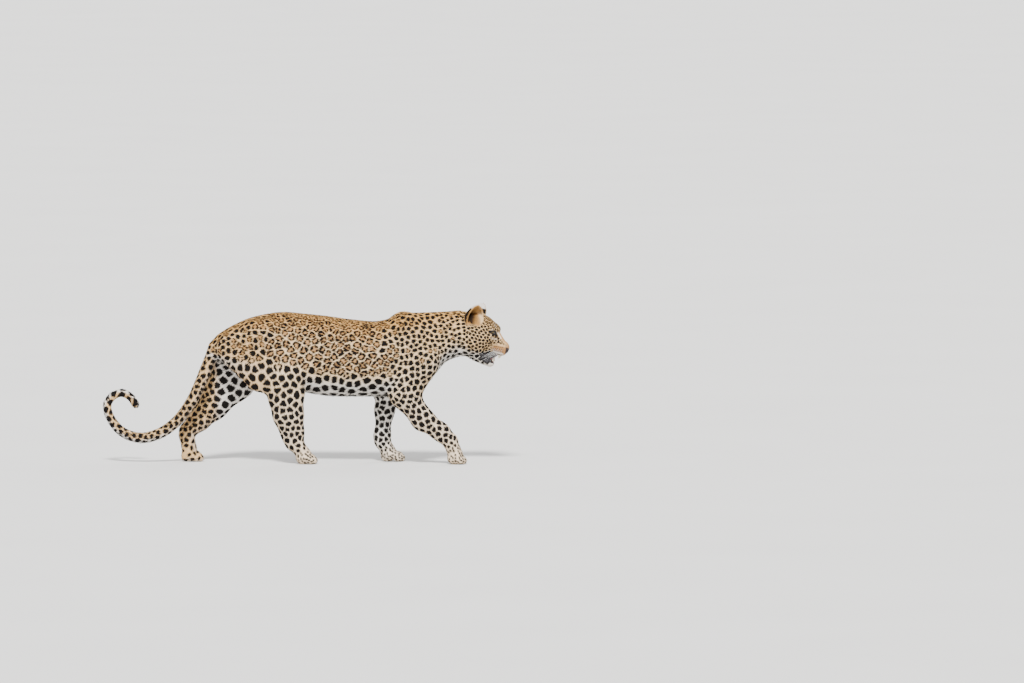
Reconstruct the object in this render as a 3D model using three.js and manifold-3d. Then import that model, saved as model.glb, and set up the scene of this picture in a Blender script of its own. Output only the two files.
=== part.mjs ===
// A leopard in mid stride, life size, in millimetres.
// X runs from the tail to the nose, Y to the animal's left, and Z up from the ground.
// Each part of the body is a field: below zero inside, and zero on the outline of the coat.
// Muscles are rounded segments and ellipsoids that blend into one another, and the body is
// parted into its named pieces by thin flat cuts.
import * as THREE from "three";
import Module from "manifold-3d";

const wasm = await Module();
wasm.setup();

const V = (x, y, z) => new THREE.Vector3(x, y, z);

// Left over between pieces that touch
const gap = 0.3;

// Back line, belly line and half width of trunk and neck, at stations along X
const trunkStations = [
  { x: -402, back: 508, belly: 458, half: 24 },
  { x: -352, back: 560, belly: 428, half: 60 },
  { x: -287, back: 598, belly: 396, half: 86 },
  { x: -209, back: 628, belly: 366, half: 98 },
  { x: -100, back: 647, belly: 330, half: 100 },
  { x: 0, back: 641, belly: 298, half: 97 },
  { x: 90, back: 631, belly: 283, half: 103 },
  { x: 200, back: 615, belly: 281, half: 116 },
  { x: 312, back: 608, belly: 284, half: 120 },
  { x: 429, back: 640, belly: 292, half: 110 },
  { x: 520, back: 646, belly: 340, half: 96 },
  { x: 598, back: 648, belly: 425, half: 82 },
  { x: 663, back: 651, belly: 452, half: 75 },
  { x: 725, back: 634, belly: 474, half: 68 },
];
const trunkSquareness = 2.2;
const trunkPear = 0.13;

// Each limb is a chain of joints: a place, a radius there, and the limb's flatness across Y
const foreRight = {
  flat: 0.72,
  chain: [
    { at: V(432, -58, 590), r: 46 },
    { at: V(500, -96, 432), r: 60 },
    { at: V(428, -90, 292), r: 60 },
    { at: V(500, -82, 192), r: 48 },
    { at: V(575, -75, 139), r: 38 },
    { at: V(616, -72, 100), r: 34 },
  ],
};
const foreLeft = {
  flat: 0.72,
  chain: [
    { at: V(415, 58, 588), r: 46 },
    { at: V(470, 94, 432), r: 60 },
    { at: V(352, 88, 300), r: 56 },
    { at: V(337, 80, 217), r: 42 },
    { at: V(327, 72, 110), r: 33 },
    { at: V(328, 70, 84), r: 32 },
  ],
};
const hindRight = {
  flat: 0.64,
  chain: [
    { at: V(-190, -74, 530), r: 84 },
    { at: V(-96, -86, 372), r: 84 },
    { at: V(-80, -82, 285), r: 73 },
    { at: V(-70, -76, 210), r: 65 },
    { at: V(-54, -68, 140), r: 49 },
    { at: V(-46, -66, 96), r: 43 },
  ],
};
const hindLeft = {
  flat: 0.64,
  chain: [
    { at: V(-215, 74, 525), r: 84 },
    { at: V(-305, 84, 348), r: 92 },
    { at: V(-395, 80, 240), r: 66 },
    { at: V(-452, 74, 178), r: 47 },
    { at: V(-499, 70, 133), r: 34 },
    { at: V(-505, 69, 112), r: 30 },
  ],
};
// The hamstrings, from the seat to the back of the knee
const seatRight = {
  flat: 0.62,
  chain: [
    { at: V(-300, -62, 490), r: 62 },
    { at: V(-190, -80, 372), r: 66 },
  ],
};
const seatLeft = {
  flat: 0.62,
  chain: [
    { at: V(-318, 60, 490), r: 60 },
    { at: V(-385, 78, 330), r: 58 },
  ],
};
const limbs = {
  foreRight: [foreRight],
  foreLeft: [foreLeft],
  hindRight: [hindRight, seatRight],
  hindLeft: [hindLeft, seatLeft],
};

// Widths over which the parts of the body run into one another
const limbBlend = 55;
const jointBlend = 26;
const seatBlend = 40;
const pawBlend = 12;
const tailBlend = 30;
const neckBlend = 40;

// Paws: the ankle, the ball of the foot, the toe tips, and the width across the toes
const paws = {
  foreRight: { from: V(616, -72, 100), ball: V(640, -70, 40), toes: V(676, -70, 17), width: 78 },
  foreLeft: { from: V(328, 70, 84), ball: V(356, 70, 38), toes: V(412, 71, 17), width: 78 },
  hindRight: { from: V(-46, -66, 96), ball: V(-2, -66, 38), toes: V(42, -66, 17), width: 70 },
  hindLeft: { from: V(-505, 69, 112), ball: V(-492, 68, 40), toes: V(-446, 68, 17), width: 70 },
};
const foot = { ankle: 32, ball: 33, flat: 0.98 };
const pad = { back: 6, up: 22, long: 30, wide: 0.42, tall: 25, blend: 14 };
const toe = {
  count: 4,
  radius: 18,
  tipRadius: 16,
  flat: 0.95,
  rootAhead: 4,
  rootDown: 4,
  rootSpread: 0.5,
  knuckleBack: 14,
  knuckleUp: 8,
  tipDown: 2,
  tuck: 64,
  rootBlend: 6,
  tipBlend: 4,
};

// Middle line of the tail, from its root to its tip, and its radius at root and tip
const tailLine = [
  V(-350, 0, 512),
  V(-384, -2, 478),
  V(-414, -8, 412),
  V(-448, -14, 331),
  V(-489, -16, 251),
  V(-546, -14, 178),
  V(-616, -10, 127),
  V(-697, -6, 106),
  V(-775, -2, 130),
  V(-826, 0, 187),
  V(-841, 0, 246),
  V(-816, 0, 285),
  V(-777, 0, 297),
  V(-742, 0, 279),
  V(-722, 0, 250),
];
const tailRootRadius = 33;
const tailFirstRadius = 31;
const tailTipRadius = 19;
const tailTaper = 0.9;
const tailRootSwell = { first: 4, last: -3, blend: 10 };
const tailPieces = 5;
const tailSides = 12;
const tailRings = 9;
const tailTipEnd = { rings: 3, power: 6, least: 0.04 };
const tailFrames = 400;

// The tail is parted from the trunk at a share of its length, behind an X value
const tailStart = 0.105;
const tailBehind = -340;

// The head's own frame: its middle, turned towards the animal's right and tipped down
const headMiddle = V(745, -4, 545);
const headTurn = THREE.MathUtils.degToRad(-12);
const headTip = THREE.MathUtils.degToRad(12);

// The shapes of the skull and its flesh, each with the width over which it runs into the rest
const skull = {
  cranium: { at: V(-6, 0, 23), size: V(76, 63, 65) },
  cheek: { at: V(-8, 42, -24), size: V(56, 34, 52), blend: 30 },
  muzzle: { from: V(46, 0, -18), to: V(98, 0, -38), r: [45, 31], flat: 1.02, blend: 26 },
  bridge: { from: V(42, 0, 28), to: V(112, 0, -24), r: [29, 16], flat: 1.15, blend: 22 },
  brow: { at: V(48, 27, 39), size: V(30, 20, 21), blend: 16 },
  cheekbone: { at: V(36, 44, 2), size: V(34, 20, 20), blend: 20 },
  nose: { at: V(118, 0, -35), size: V(15, 17, 17), blend: 8 },
  throat: { at: V(-8, 0, -62), size: V(56, 44, 38), blend: 30 },
  jaw: { from: V(6, 0, -84), to: V(66, 0, -106), r: [34, 21], flat: 1.1, blend: 14 },
  whiskerPad: { at: V(101, 18, -42), size: V(27, 20, 22), blend: 8 },
};

// The mouth seen from the side: its corner, the lines of both lips, and the chin's clearance
const mouth = {
  corner: V(26, 0, -75),
  upper: V(150, 0, -60),
  upperFront: V(124, 0, -63),
  lower: V(90, 0, -98),
  under: V(150, 0, -135),
  round: 3,
  wide: 220,
};
const lip = {
  radius: 3.4,
  sides: 3,
  upperDepth: 34,
  lowerDepth: 28,
  start: 2,
  sidePoints: 4,
  frontPoints: 6,
  steps: 20,
};

// Eye, lids, ear, nose and teeth in the head's own frame, given for the animal's left side
const eye = {
  from: V(30, 13, 22),
  radius: 14.5,
  proud: 3.2,
  turn: THREE.MathUtils.degToRad(42),
  lift: 0.12,
};
const lid = { radius: 2.6, half: 12.5, open: 6.5, slant: 2, proud: 0.6, points: 10, steps: 14 };
const ear = {
  at: V(-30, 50, 74),
  size: V(46, 36, 55),
  turn: THREE.MathUtils.degToRad(48),
  lean: THREE.MathUtils.degToRad(-14),
  forward: 0.28,
  lift: -0.07,
  taper: 0.22,
  thick: 5,
  rim: 6,
  sides: 12,
  rows: 9,
};
const nostril = {
  at: V(130, 9, -38),
  size: V(9, 3.6, 3.6),
  turn: THREE.MathUtils.degToRad(28),
  sides: 8,
};
const noseCut = { front: 118, low: -53, high: -10, half: 16, sideSlope: 0.24, topSlope: 0.5 };
const tongue = { at: V(50, 0, -84), size: V(23, 13, 7), sides: 16 };
const canines = {
  upper: { x: 100, inset: 5, radius: 4.2, height: 13 },
  lower: { x: 77, inset: 1, radius: 3.6, height: 14 },
};
const canineSides = 8;
const ballSides = 12;
const ballRows = 0.7;

// Cuts that part the neck from the trunk, the head from the neck, and the jaw from the head;
// the jaw's are in the head's own frame
const neckBase = { at: V(592, 0, 540), out: V(1, 0, 0.08) };
const neckTop = { at: V(693, 0, 545), out: V(0.968, -0.12, 0.22) };
const jawFront = { at: V(28, 0, -80), out: V(0.9, 0, -0.42) };
const jawRoof = { at: mouth.corner, out: V(-0.12, 0, -1) };

// Where each limb is parted: from the trunk, at the middle joint, and at the paw
const limbCuts = {
  foreRight: {
    name: "foreleg_right",
    trunk: { at: V(440, -60, 330), out: V(0.1, -0.72, -0.69) },
    xRange: [340, 760],
    middle: { at: V(462, -84, 236), out: V(0.62, 0, -0.78) },
    end: { at: V(620, -72, 92), out: V(0.35, 0, -0.94) },
    cells: [V(28, 22, 28), V(22, 17, 22), V(13, 13, 13)],
    pieces: ["upper", "forearm", "paw"],
  },
  foreLeft: {
    name: "foreleg_left",
    trunk: { at: V(400, 60, 330), out: V(0, 0.72, -0.69) },
    xRange: [270, 470],
    middle: { at: V(342, 84, 250), out: V(-0.1, 0, -1) },
    end: { at: V(328, 70, 84), out: V(0.2, 0, -0.98) },
    cells: [V(28, 22, 28), V(20, 17, 25), V(13, 13, 13)],
    pieces: ["upper", "forearm", "paw"],
  },
  hindRight: {
    name: "hindleg_right",
    trunk: { at: V(-130, -60, 400), out: V(0, -0.76, -0.65) },
    xRange: [-360, 6],
    middle: { at: V(-80, -80, 262), out: V(0.05, 0, -1) },
    end: { at: V(-46, -66, 90), out: V(0.55, 0, -0.84) },
    cells: [V(32, 24, 32), V(25, 18, 25), V(13, 13, 13)],
    pieces: ["thigh", "shank", "paw"],
  },
  hindLeft: {
    name: "hindleg_left",
    trunk: { at: V(-290, 56, 410), out: V(0, 0.76, -0.65) },
    xRange: [-700, -150],
    middle: { at: V(-362, 80, 270), out: V(-0.72, 0, -0.69) },
    end: { at: V(-506, 70, 100), out: V(0.1, 0, -1) },
    cells: [V(32, 24, 32), V(25, 18, 25), V(13, 13, 13)],
    pieces: ["thigh", "shank", "paw"],
  },
};
const limbApart = 6;

// Boxes round trunk, neck and head with the cell of their facets, and the room that each
// stretch of a limb needs round its joints
const blocks = {
  torso: { low: V(-470, -170, 230), high: V(640, 170, 690), cell: V(42, 31, 31) },
  neck: { low: V(540, -140, 380), high: V(780, 140, 700), cell: V(22, 20, 20) },
  head: { low: V(640, -115, 385), high: V(900, 100, 665), cell: V(11.5, 11.5, 11.5) },
};
const limbRoom = [V(130, 85, 130), V(100, 75, 85), V(62, 62, 48)];
const upperReach = 60;

// How a facet's corner is slid on to the surface: the step that tells the slope, the number
// of slides, how far it may leave its cell's middle, and the least slope
const slide = { step: 0.05, turns: 4, reach: 0.6, leastSlope: 0.05 };

// How far out a ray from inside the head is followed, and how often its reach is halved
const rayReach = 160;
const rayTurns = 20;

// Sizes of no more than bookkeeping: points closer than a weld are one
const farAway = 3000;
const originStep = 0.1;
const nothing = 1e-9;
const weld = 0.001;

// Colours and roughness of the finishes
const finishes = {
  coat: { color: 0xd9b27c, roughness: 0.9 },
  paleCoat: { color: 0xe9dcc6, roughness: 0.9 },
  noseLeather: { color: 0x3a2a28, roughness: 0.5 },
  eye: { color: 0x7d6a34, roughness: 0.1 },
  tongue: { color: 0xb5767a, roughness: 0.45 },
  tooth: { color: 0xece4d0, roughness: 0.35 },
};
const materials = Object.fromEntries(
  Object.entries(finishes).map(([name, finish]) => [
    name,
    new THREE.MeshStandardMaterial({ ...finish, metalness: 0 }),
  ]),
);

// Smaller of two fields, rounded where they meet within a width
function blend(a, b, width) {
  const h = Math.max(width - Math.abs(a - b), 0) / width;
  return Math.min(a, b) - (h * h * width) / 4;
}

// Field of a segment that swells or tapers from one end to the other
function segment(p, a, b, ra, rb, flat) {
  const dx = b.x - a.x;
  const dy = b.y - a.y;
  const dz = b.z - a.z;
  const px = p.x - a.x;
  const py = p.y - a.y;
  const pz = p.z - a.z;
  const t = THREE.MathUtils.clamp((px * dx + py * dy + pz * dz) / (dx * dx + dy * dy + dz * dz), 0, 1);
  return Math.hypot(px - dx * t, (py - dy * t) / flat, pz - dz * t) - (ra + (rb - ra) * t);
}

// Field of an ellipsoid
function ellipsoid(p, centre, radii) {
  const x = (p.x - centre.x) / radii.x;
  const y = (p.y - centre.y) / radii.y;
  const z = (p.z - centre.z) / radii.z;
  const k0 = Math.hypot(x, y, z);
  const k1 = Math.hypot(x / radii.x, y / radii.y, z / radii.z);
  return k1 < nothing ? -Math.min(radii.x, radii.y, radii.z) : (k0 * (k0 - 1)) / k1;
}

// Chain of segments blended at their joints
function limb(p, { chain, flat }) {
  let d = Infinity;
  for (let i = 0; i + 1 < chain.length; i += 1) {
    const a = chain[i];
    const b = chain[i + 1];
    const piece = segment(p, a.at, b.at, a.r, b.r, flat);
    d = i ? blend(d, piece, jointBlend) : piece;
  }
  return d;
}

// Smooth value of a station's measure at any X, through the stations' own values
function along(stations, key, x) {
  const last = stations.length - 1;
  const slope = (i) => {
    const a = stations[Math.max(i - 1, 0)];
    const b = stations[Math.min(i + 1, last)];
    return (b[key] - a[key]) / (b.x - a.x);
  };
  let i = 0;
  while (i < last - 1 && x > stations[i + 1].x) i += 1;
  const a = stations[i];
  const b = stations[i + 1];
  const w = b.x - a.x;
  const t = THREE.MathUtils.clamp((x - a.x) / w, 0, 1);
  const t2 = t * t;
  const t3 = t2 * t;
  return (
    (2 * t3 - 3 * t2 + 1) * a[key] +
    (t3 - 2 * t2 + t) * w * slope(i) +
    (3 * t2 - 2 * t3) * b[key] +
    (t3 - t2) * w * slope(i + 1)
  );
}

// Trunk and neck: at each X a rounded upright oval, a little narrower above than below
function trunkField(p) {
  const first = trunkStations[0].x;
  const last = trunkStations[trunkStations.length - 1].x;
  const back = along(trunkStations, "back", p.x);
  const belly = along(trunkStations, "belly", p.x);
  const half = along(trunkStations, "half", p.x);
  const tall = (back - belly) / 2;
  const t = (p.z - (back + belly) / 2) / tall;
  const wide = half * (1 - trunkPear * THREE.MathUtils.clamp(t, -1, 1));
  const n = trunkSquareness;
  const reach = Math.pow(Math.pow(Math.abs(t), n) + Math.pow(Math.abs(p.y) / wide, n), 1 / n);
  const around = (reach - 1) * Math.min(tall, half);
  const past = Math.max(first - p.x, p.x - last, 0);
  return past > 0 ? Math.hypot(Math.max(around, 0), past) : around;
}

// A paw: the foot down to its ball, and toes spread from there
function pawField(p, { from, ball, toes, width }) {
  const padAt = V(ball.x - pad.back, ball.y, pad.up);
  let d = segment(p, from, ball, foot.ankle, foot.ball, foot.flat);
  d = blend(d, ellipsoid(p, padAt, V(pad.long, width * pad.wide, pad.tall)), pad.blend);
  for (let i = 0; i < toe.count; i += 1) {
    const side = i / (toe.count - 1) - 0.5;
    const front = toes.x - toe.tuck * side * side;
    const spread = toes.y + side * (width - 2 * toe.radius);
    const root = V(ball.x + toe.rootAhead, ball.y + side * width * toe.rootSpread, ball.z - toe.rootDown);
    const knuckle = V(front - toe.knuckleBack, spread, toes.z + toe.knuckleUp);
    const tip = V(front, spread, toes.z - toe.tipDown);
    d = blend(d, segment(p, root, knuckle, toe.radius, toe.radius, toe.flat), toe.rootBlend);
    d = blend(d, segment(p, knuckle, tip, toe.radius, toe.tipRadius, toe.flat), toe.tipBlend);
  }
  return d;
}

// Field of the tail's first length, so that the rump runs into it
function tailRootField(p) {
  const [first, second, third] = tailLine;
  const start = tailRootRadius + tailRootSwell.first;
  const end = tailRootRadius + tailRootSwell.last;
  return blend(
    segment(p, first, second, start, tailRootRadius, 1),
    segment(p, second, third, tailRootRadius, end, 1),
    tailRootSwell.blend,
  );
}

// A point of space in the head's own frame, and back
const headMatrix = new THREE.Matrix4()
  .makeTranslation(headMiddle.x, headMiddle.y, headMiddle.z)
  .multiply(new THREE.Matrix4().makeRotationZ(headTurn))
  .multiply(new THREE.Matrix4().makeRotationY(headTip));
const headInverse = headMatrix.clone().invert();

// The same ellipsoid on both sides of the head
function pair(q, { at, size }) {
  return ellipsoid(V(q.x, Math.abs(q.y), q.z), at, size);
}

// The head, before its mouth is opened
function headField(p) {
  const q = p.clone().applyMatrix4(headInverse);
  const { cranium, ...flesh } = skull;
  let d = ellipsoid(q, cranium.at, cranium.size);
  for (const shape of Object.values(flesh)) {
    const piece = shape.size ? pair(q, shape) : segment(q, shape.from, shape.to, ...shape.r, shape.flat);
    d = blend(d, piece, shape.blend);
  }
  return d;
}

// Trunk with limbs, tail and head grown on to it
function limbField(p, side) {
  const upper = limbs[side].map((one) => limb(p, one)).reduce((a, b) => blend(a, b, seatBlend));
  return blend(upper, pawField(p, paws[side]), pawBlend);
}
function bodyWithLimb(p, side) {
  return blend(trunkField(p), limbField(p, side), limbBlend);
}
function bodyField(p) {
  const sides = Object.keys(limbs).map((side) => bodyWithLimb(p, side));
  return Math.min(...sides, blend(trunkField(p), tailRootField(p), tailBlend));
}
function neckField(p) {
  return blend(bodyField(p), headField(p), neckBlend);
}

// Visits every place of a grid with the given counts
function eachPlace([ni, nj, nk], visit) {
  for (let k = 0; k < nk; k += 1) {
    for (let j = 0; j < nj; j += 1) {
      for (let i = 0; i < ni; i += 1) visit(i, j, k);
    }
  }
}

// Where the four corners of a grid face are inside and outside by turns, two sheets would
// meet on one edge: the corner nearest the surface changes sides, until no such face is left
function partSheets(value, strides) {
  let changed = true;
  while (changed) {
    changed = false;
    for (let axis = 0; axis < 3; axis += 1) {
      const u = strides[(axis + 1) % 3];
      const w = strides[(axis + 2) % 3];
      for (let at = 0; at + u + w < value.length; at += 1) {
        const ring = [at, at + u, at + u + w, at + w];
        const [a, b, c, d] = ring.map((corner) => value[corner] < 0);
        if (a !== c || b !== d || a === b) continue;
        const nearest = ring.reduce((x, y) => (Math.abs(value[y]) < Math.abs(value[x]) ? y : x));
        value[nearest] *= -1;
        changed = true;
      }
    }
  }
}

// Corners of a unit cell, and its edges as pairs of corners
const cellCorners = [...Array(8).keys()].map((c) => V(c & 1, (c >> 1) & 1, (c >> 2) & 1));
const cellEdges = [1, 2, 4].flatMap((bit) =>
  [...Array(8).keys()].filter((c) => !(c & bit)).map((c) => [c, c | bit]),
);

// Slides a point on to a field's zero along the slope, within its cell
function slideOn(field, p, centre, cell) {
  const step = Math.min(cell.x, cell.y, cell.z) * slide.step;
  const low = centre.clone().addScaledVector(cell, -slide.reach);
  const high = centre.clone().addScaledVector(cell, slide.reach);
  for (let turn = 0; turn < slide.turns; turn += 1) {
    const slope = V(
      field(V(p.x + step, p.y, p.z)) - field(V(p.x - step, p.y, p.z)),
      field(V(p.x, p.y + step, p.z)) - field(V(p.x, p.y - step, p.z)),
      field(V(p.x, p.y, p.z + step)) - field(V(p.x, p.y, p.z - step)),
    ).divideScalar(2 * step);
    p.addScaledVector(slope, -field(p) / Math.max(slope.lengthSq(), slide.leastSlope));
    p.clamp(low, high);
  }
  return p;
}

// Surface of a field in a box: one point in each cell that the surface crosses, slid on to
// the surface, and a face across each crossed edge of the grid
function surface(field, low, high, cell) {
  const n = high.clone().sub(low).divide(cell).ceil().addScalar(1).toArray();
  const index = (i, j, k) => (k * n[1] + j) * n[0] + i;
  const place = (i, j, k) => V(low.x + i * cell.x, low.y + j * cell.y, low.z + k * cell.z);
  const value = new Float64Array(n[0] * n[1] * n[2]);
  eachPlace(n, (i, j, k) => {
    const edge = i === 0 || j === 0 || k === 0 || i === n[0] - 1 || j === n[1] - 1 || k === n[2] - 1;
    value[index(i, j, k)] = edge ? 1 : field(place(i, j, k));
  });
  const strides = [1, n[0], n[0] * n[1]];
  partSheets(value, strides);
  const cells = n.map((count) => count - 1);
  const points = [];
  const pointOf = new Map();
  eachPlace(cells, (i, j, k) => {
    const v = cellCorners.map((corner) => value[index(i + corner.x, j + corner.y, k + corner.z)]);
    const crossed = cellEdges.filter(([a, b]) => v[a] < 0 !== v[b] < 0);
    if (!crossed.length) return;
    const sum = V(0, 0, 0);
    for (const [a, b] of crossed) {
      sum.add(cellCorners[a].clone().lerp(cellCorners[b], v[a] / (v[a] - v[b])));
    }
    const start = place(i, j, k).add(sum.divideScalar(crossed.length).multiply(cell));
    pointOf.set(index(i, j, k), points.length);
    points.push(slideOn(field, start, place(i + 0.5, j + 0.5, k + 0.5), cell));
  });
  const faces = [];
  eachPlace(cells, (i, j, k) => {
    const here = index(i, j, k);
    const inside = value[here] < 0;
    for (let axis = 0; axis < 3; axis += 1) {
      if (inside === value[here + strides[axis]] < 0) continue;
      const u = strides[(axis + 1) % 3];
      const w = strides[(axis + 2) % 3];
      const ring = [here, here - u, here - u - w, here - w].map((at) => pointOf.get(at));
      if (!inside) ring.reverse();
      const [a, b, c, d] = ring;
      const oneWay = points[a].distanceTo(points[c]) <= points[b].distanceTo(points[d]);
      faces.push(...(oneWay ? [a, b, c, a, c, d] : [b, c, d, b, d, a]));
    }
  });
  return solidFrom(points, faces);
}

// Closed solid from points and triangles
function solidFrom(points, faces) {
  const flat = new Float32Array(points.flatMap((p) => [p.x, p.y, p.z]));
  return new wasm.Manifold(
    new wasm.Mesh({ numProp: 3, vertProperties: flat, triVerts: new Uint32Array(faces) }),
  );
}

// Closed solid from a three.js geometry
function solidOf(geometry) {
  const position = geometry.getAttribute("position");
  const order = geometry.index ? geometry.index.array : [...Array(position.count).keys()];
  const seen = new Map();
  const points = [];
  const faces = [];
  for (const at of order) {
    const p = new THREE.Vector3().fromBufferAttribute(position, at);
    const key = p.toArray().map((value) => Math.round(value / weld)).join();
    if (!seen.has(key)) {
      seen.set(key, points.length);
      points.push(p);
    }
    faces.push(seen.get(key));
  }
  const whole = [];
  for (let i = 0; i < faces.length; i += 3) {
    const [a, b, c] = faces.slice(i, i + 3);
    if (a !== b && b !== c && c !== a) whole.push(a, b, c);
  }
  return solidFrom(points, whole);
}

// Everything on the far side of a plane, as one large block
function beyond(point, normal, clear = 0) {
  const block = new THREE.BoxGeometry(farAway, farAway, farAway);
  const unit = normal.clone().normalize();
  block.applyQuaternion(new THREE.Quaternion().setFromUnitVectors(V(1, 0, 0), unit));
  const centre = point.clone().addScaledVector(unit, farAway / 2 + clear);
  block.translate(centre.x, centre.y, centre.z);
  return solidOf(block);
}

// The largest closed surface of a solid
function largest(solid) {
  return solid.decompose().sort((a, b) => b.volume() - a.volume())[0];
}

const leopard = new THREE.Group();
leopard.name = "leopard";

// Adds a solid to the animal as a named piece
function addPiece(name, solid, finish) {
  const mesh = largest(solid).getMesh();
  const geometry = new THREE.BufferGeometry();
  const stride = mesh.numProp;
  const position = new Float32Array((mesh.vertProperties.length / stride) * 3);
  for (let i = 0; i < position.length / 3; i += 1) {
    for (let k = 0; k < 3; k += 1) position[i * 3 + k] = mesh.vertProperties[i * stride + k];
  }
  geometry.setAttribute("position", new THREE.BufferAttribute(position, 3));
  geometry.setIndex(new THREE.BufferAttribute(new Uint32Array(mesh.triVerts), 1));
  const piece = new THREE.Mesh(geometry, materials[finish]);
  piece.name = name;
  leopard.add(piece);
}

// The block of space that holds a limb: past its cut from the trunk, between two X values,
// on its own side of the middle
function limbSpace(cut, clear) {
  const side = Math.sign(cut.trunk.at.y);
  return beyond(cut.trunk.at, cut.trunk.out, -clear)
    .intersect(beyond(V(cut.xRange[0], 0, 0), V(1, 0, 0), -clear))
    .intersect(beyond(V(cut.xRange[1], 0, 0), V(-1, 0, 0), -clear))
    .intersect(beyond(V(0, side * limbApart, 0), V(0, side, 0), -clear));
}

const ground = beyond(V(0, 0, 0), V(0, 0, -1));

// Box round a limb's stretch: its upper part, its lower part or its paw
function roomFor(side, cut, part) {
  const upper = limbs[side]
    .flatMap((one) => one.chain)
    .map((joint) => joint.at)
    .filter((at) => at.z > cut.middle.at.z - upperReach);
  const { ball, toes } = paws[side];
  const within = [upper, [cut.middle.at, cut.end.at], [ball, toes, cut.end.at]];
  return new THREE.Box3().setFromPoints(within[part]).expandByVector(limbRoom[part]);
}

for (const [side, cut] of Object.entries(limbCuts)) {
  const space = limbSpace(cut, 0);
  const planes = [cut.middle, cut.end];
  for (let part = 0; part < 3; part += 1) {
    const room = roomFor(side, cut, part);
    const field = part ? (p) => limbField(p, side) : (p) => bodyWithLimb(p, side);
    let solid = surface(field, room.min, room.max, cut.cells[part]);
    if (part === 0) solid = solid.intersect(space);
    if (part > 0) solid = solid.intersect(beyond(planes[part - 1].at, planes[part - 1].out, gap / 2));
    if (part < 2) solid = solid.subtract(beyond(planes[part].at, planes[part].out, -gap / 2));
    addPiece(cut.name + "_" + cut.pieces[part], solid.subtract(ground), "coat");
  }
}

// Trunk and neck, parted at the base of the neck and behind the ears
const tailCurve = new THREE.CatmullRomCurve3(tailLine, false, "centripetal");
const tailPlane = { at: tailCurve.getPointAt(tailStart), out: tailCurve.getTangentAt(tailStart) };
const tailSpace = beyond(tailPlane.at, tailPlane.out, -gap / 2).intersect(
  beyond(V(tailBehind, 0, 0), V(-1, 0, 0)),
);

let torso = surface(bodyField, blocks.torso.low, blocks.torso.high, blocks.torso.cell);
torso = torso.subtract(beyond(neckBase.at, neckBase.out, -gap / 2)).subtract(tailSpace);
for (const cut of Object.values(limbCuts)) torso = torso.subtract(limbSpace(cut, gap));
addPiece("torso", torso, "coat");

let neck = surface(neckField, blocks.neck.low, blocks.neck.high, blocks.neck.cell);
neck = neck.intersect(beyond(neckBase.at, neckBase.out, gap / 2));
neck = neck.subtract(beyond(neckTop.at, neckTop.out, -gap / 2));
addPiece("neck", neck, "coat");

// Tail, in lengths that meet on flat ends
function tailRadius(t) {
  return THREE.MathUtils.lerp(tailFirstRadius, tailTipRadius, Math.pow(t, tailTaper));
}
function tailLength(from, to, isTip) {
  const frames = tailCurve.computeFrenetFrames(tailFrames, false);
  const points = [];
  const faces = [];
  const rings = isTip ? tailRings + tailTipEnd.rings : tailRings;
  for (let i = 0; i < rings; i += 1) {
    const share = i / (rings - 1);
    const t = THREE.MathUtils.lerp(from, to, share);
    const closing = Math.max(1 - Math.pow(share, tailTipEnd.power), tailTipEnd.least);
    const radius = tailRadius(t) * (isTip ? Math.sqrt(closing) : 1);
    const centre = tailCurve.getPointAt(t);
    const row = Math.round(t * tailFrames);
    for (let j = 0; j < tailSides; j += 1) {
      const turn = (2 * Math.PI * j) / tailSides;
      points.push(
        centre
          .clone()
          .addScaledVector(frames.normals[row], Math.cos(turn) * radius)
          .addScaledVector(frames.binormals[row], Math.sin(turn) * radius),
      );
    }
  }
  eachPlace([tailSides, rings - 1, 1], (j, i) => {
    const a = i * tailSides + j;
    const b = i * tailSides + ((j + 1) % tailSides);
    faces.push(a, b, b + tailSides, a, b + tailSides, a + tailSides);
  });
  const first = points.push(tailCurve.getPointAt(from)) - 1;
  const last = points.push(tailCurve.getPointAt(to)) - 1;
  const top = (rings - 1) * tailSides;
  for (let j = 0; j < tailSides; j += 1) {
    const next = (j + 1) % tailSides;
    faces.push(first, next, j, last, top + j, top + next);
  }
  const solid = solidFrom(points, faces);
  if (solid.volume() > 0) return solid;
  for (let i = 0; i < faces.length; i += 3) [faces[i], faces[i + 1]] = [faces[i + 1], faces[i]];
  return solidFrom(points, faces);
}
const tailTotal = tailCurve.getLength();
for (let i = 0; i < tailPieces; i += 1) {
  const share = (1 - tailStart) / tailPieces;
  const from = tailStart + i * share + gap / 2 / tailTotal;
  const to = tailStart + (i + 1) * share - (i === tailPieces - 1 ? 0 : gap / 2 / tailTotal);
  addPiece("tail_" + (i + 1), tailLength(from, to, i === tailPieces - 1), "coat");
}

// Head, with the lower jaw a piece of its own
const toHead = (at) => at.clone().applyMatrix4(headMatrix);
const headWay = (way) => way.clone().transformDirection(headMatrix);
const beyondHead = ({ at, out }, clear) => beyond(toHead(at), headWay(out), clear);
const jawSpace = (clear) => beyondHead(jawFront, -clear).intersect(beyondHead(jawRoof, -clear));

// The open mouth: a wedge between the lips, as wide as the head
function mouthOpening() {
  const { corner, upper, lower, under, round, wide } = mouth;
  const outline = new THREE.Shape();
  outline.moveTo(upper.x, upper.z);
  outline.lineTo(corner.x + round, corner.z + round);
  outline.quadraticCurveTo(corner.x, corner.z, corner.x + round, corner.z - round);
  outline.lineTo(lower.x, lower.z);
  outline.lineTo(under.x, under.z);
  const wedge = new THREE.ExtrudeGeometry(outline, { depth: wide, bevelEnabled: false, curveSegments: 4 });
  wedge.rotateX(Math.PI / 2);
  wedge.translate(0, wide / 2, 0);
  return solidOf(wedge.applyMatrix4(headMatrix));
}

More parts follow.
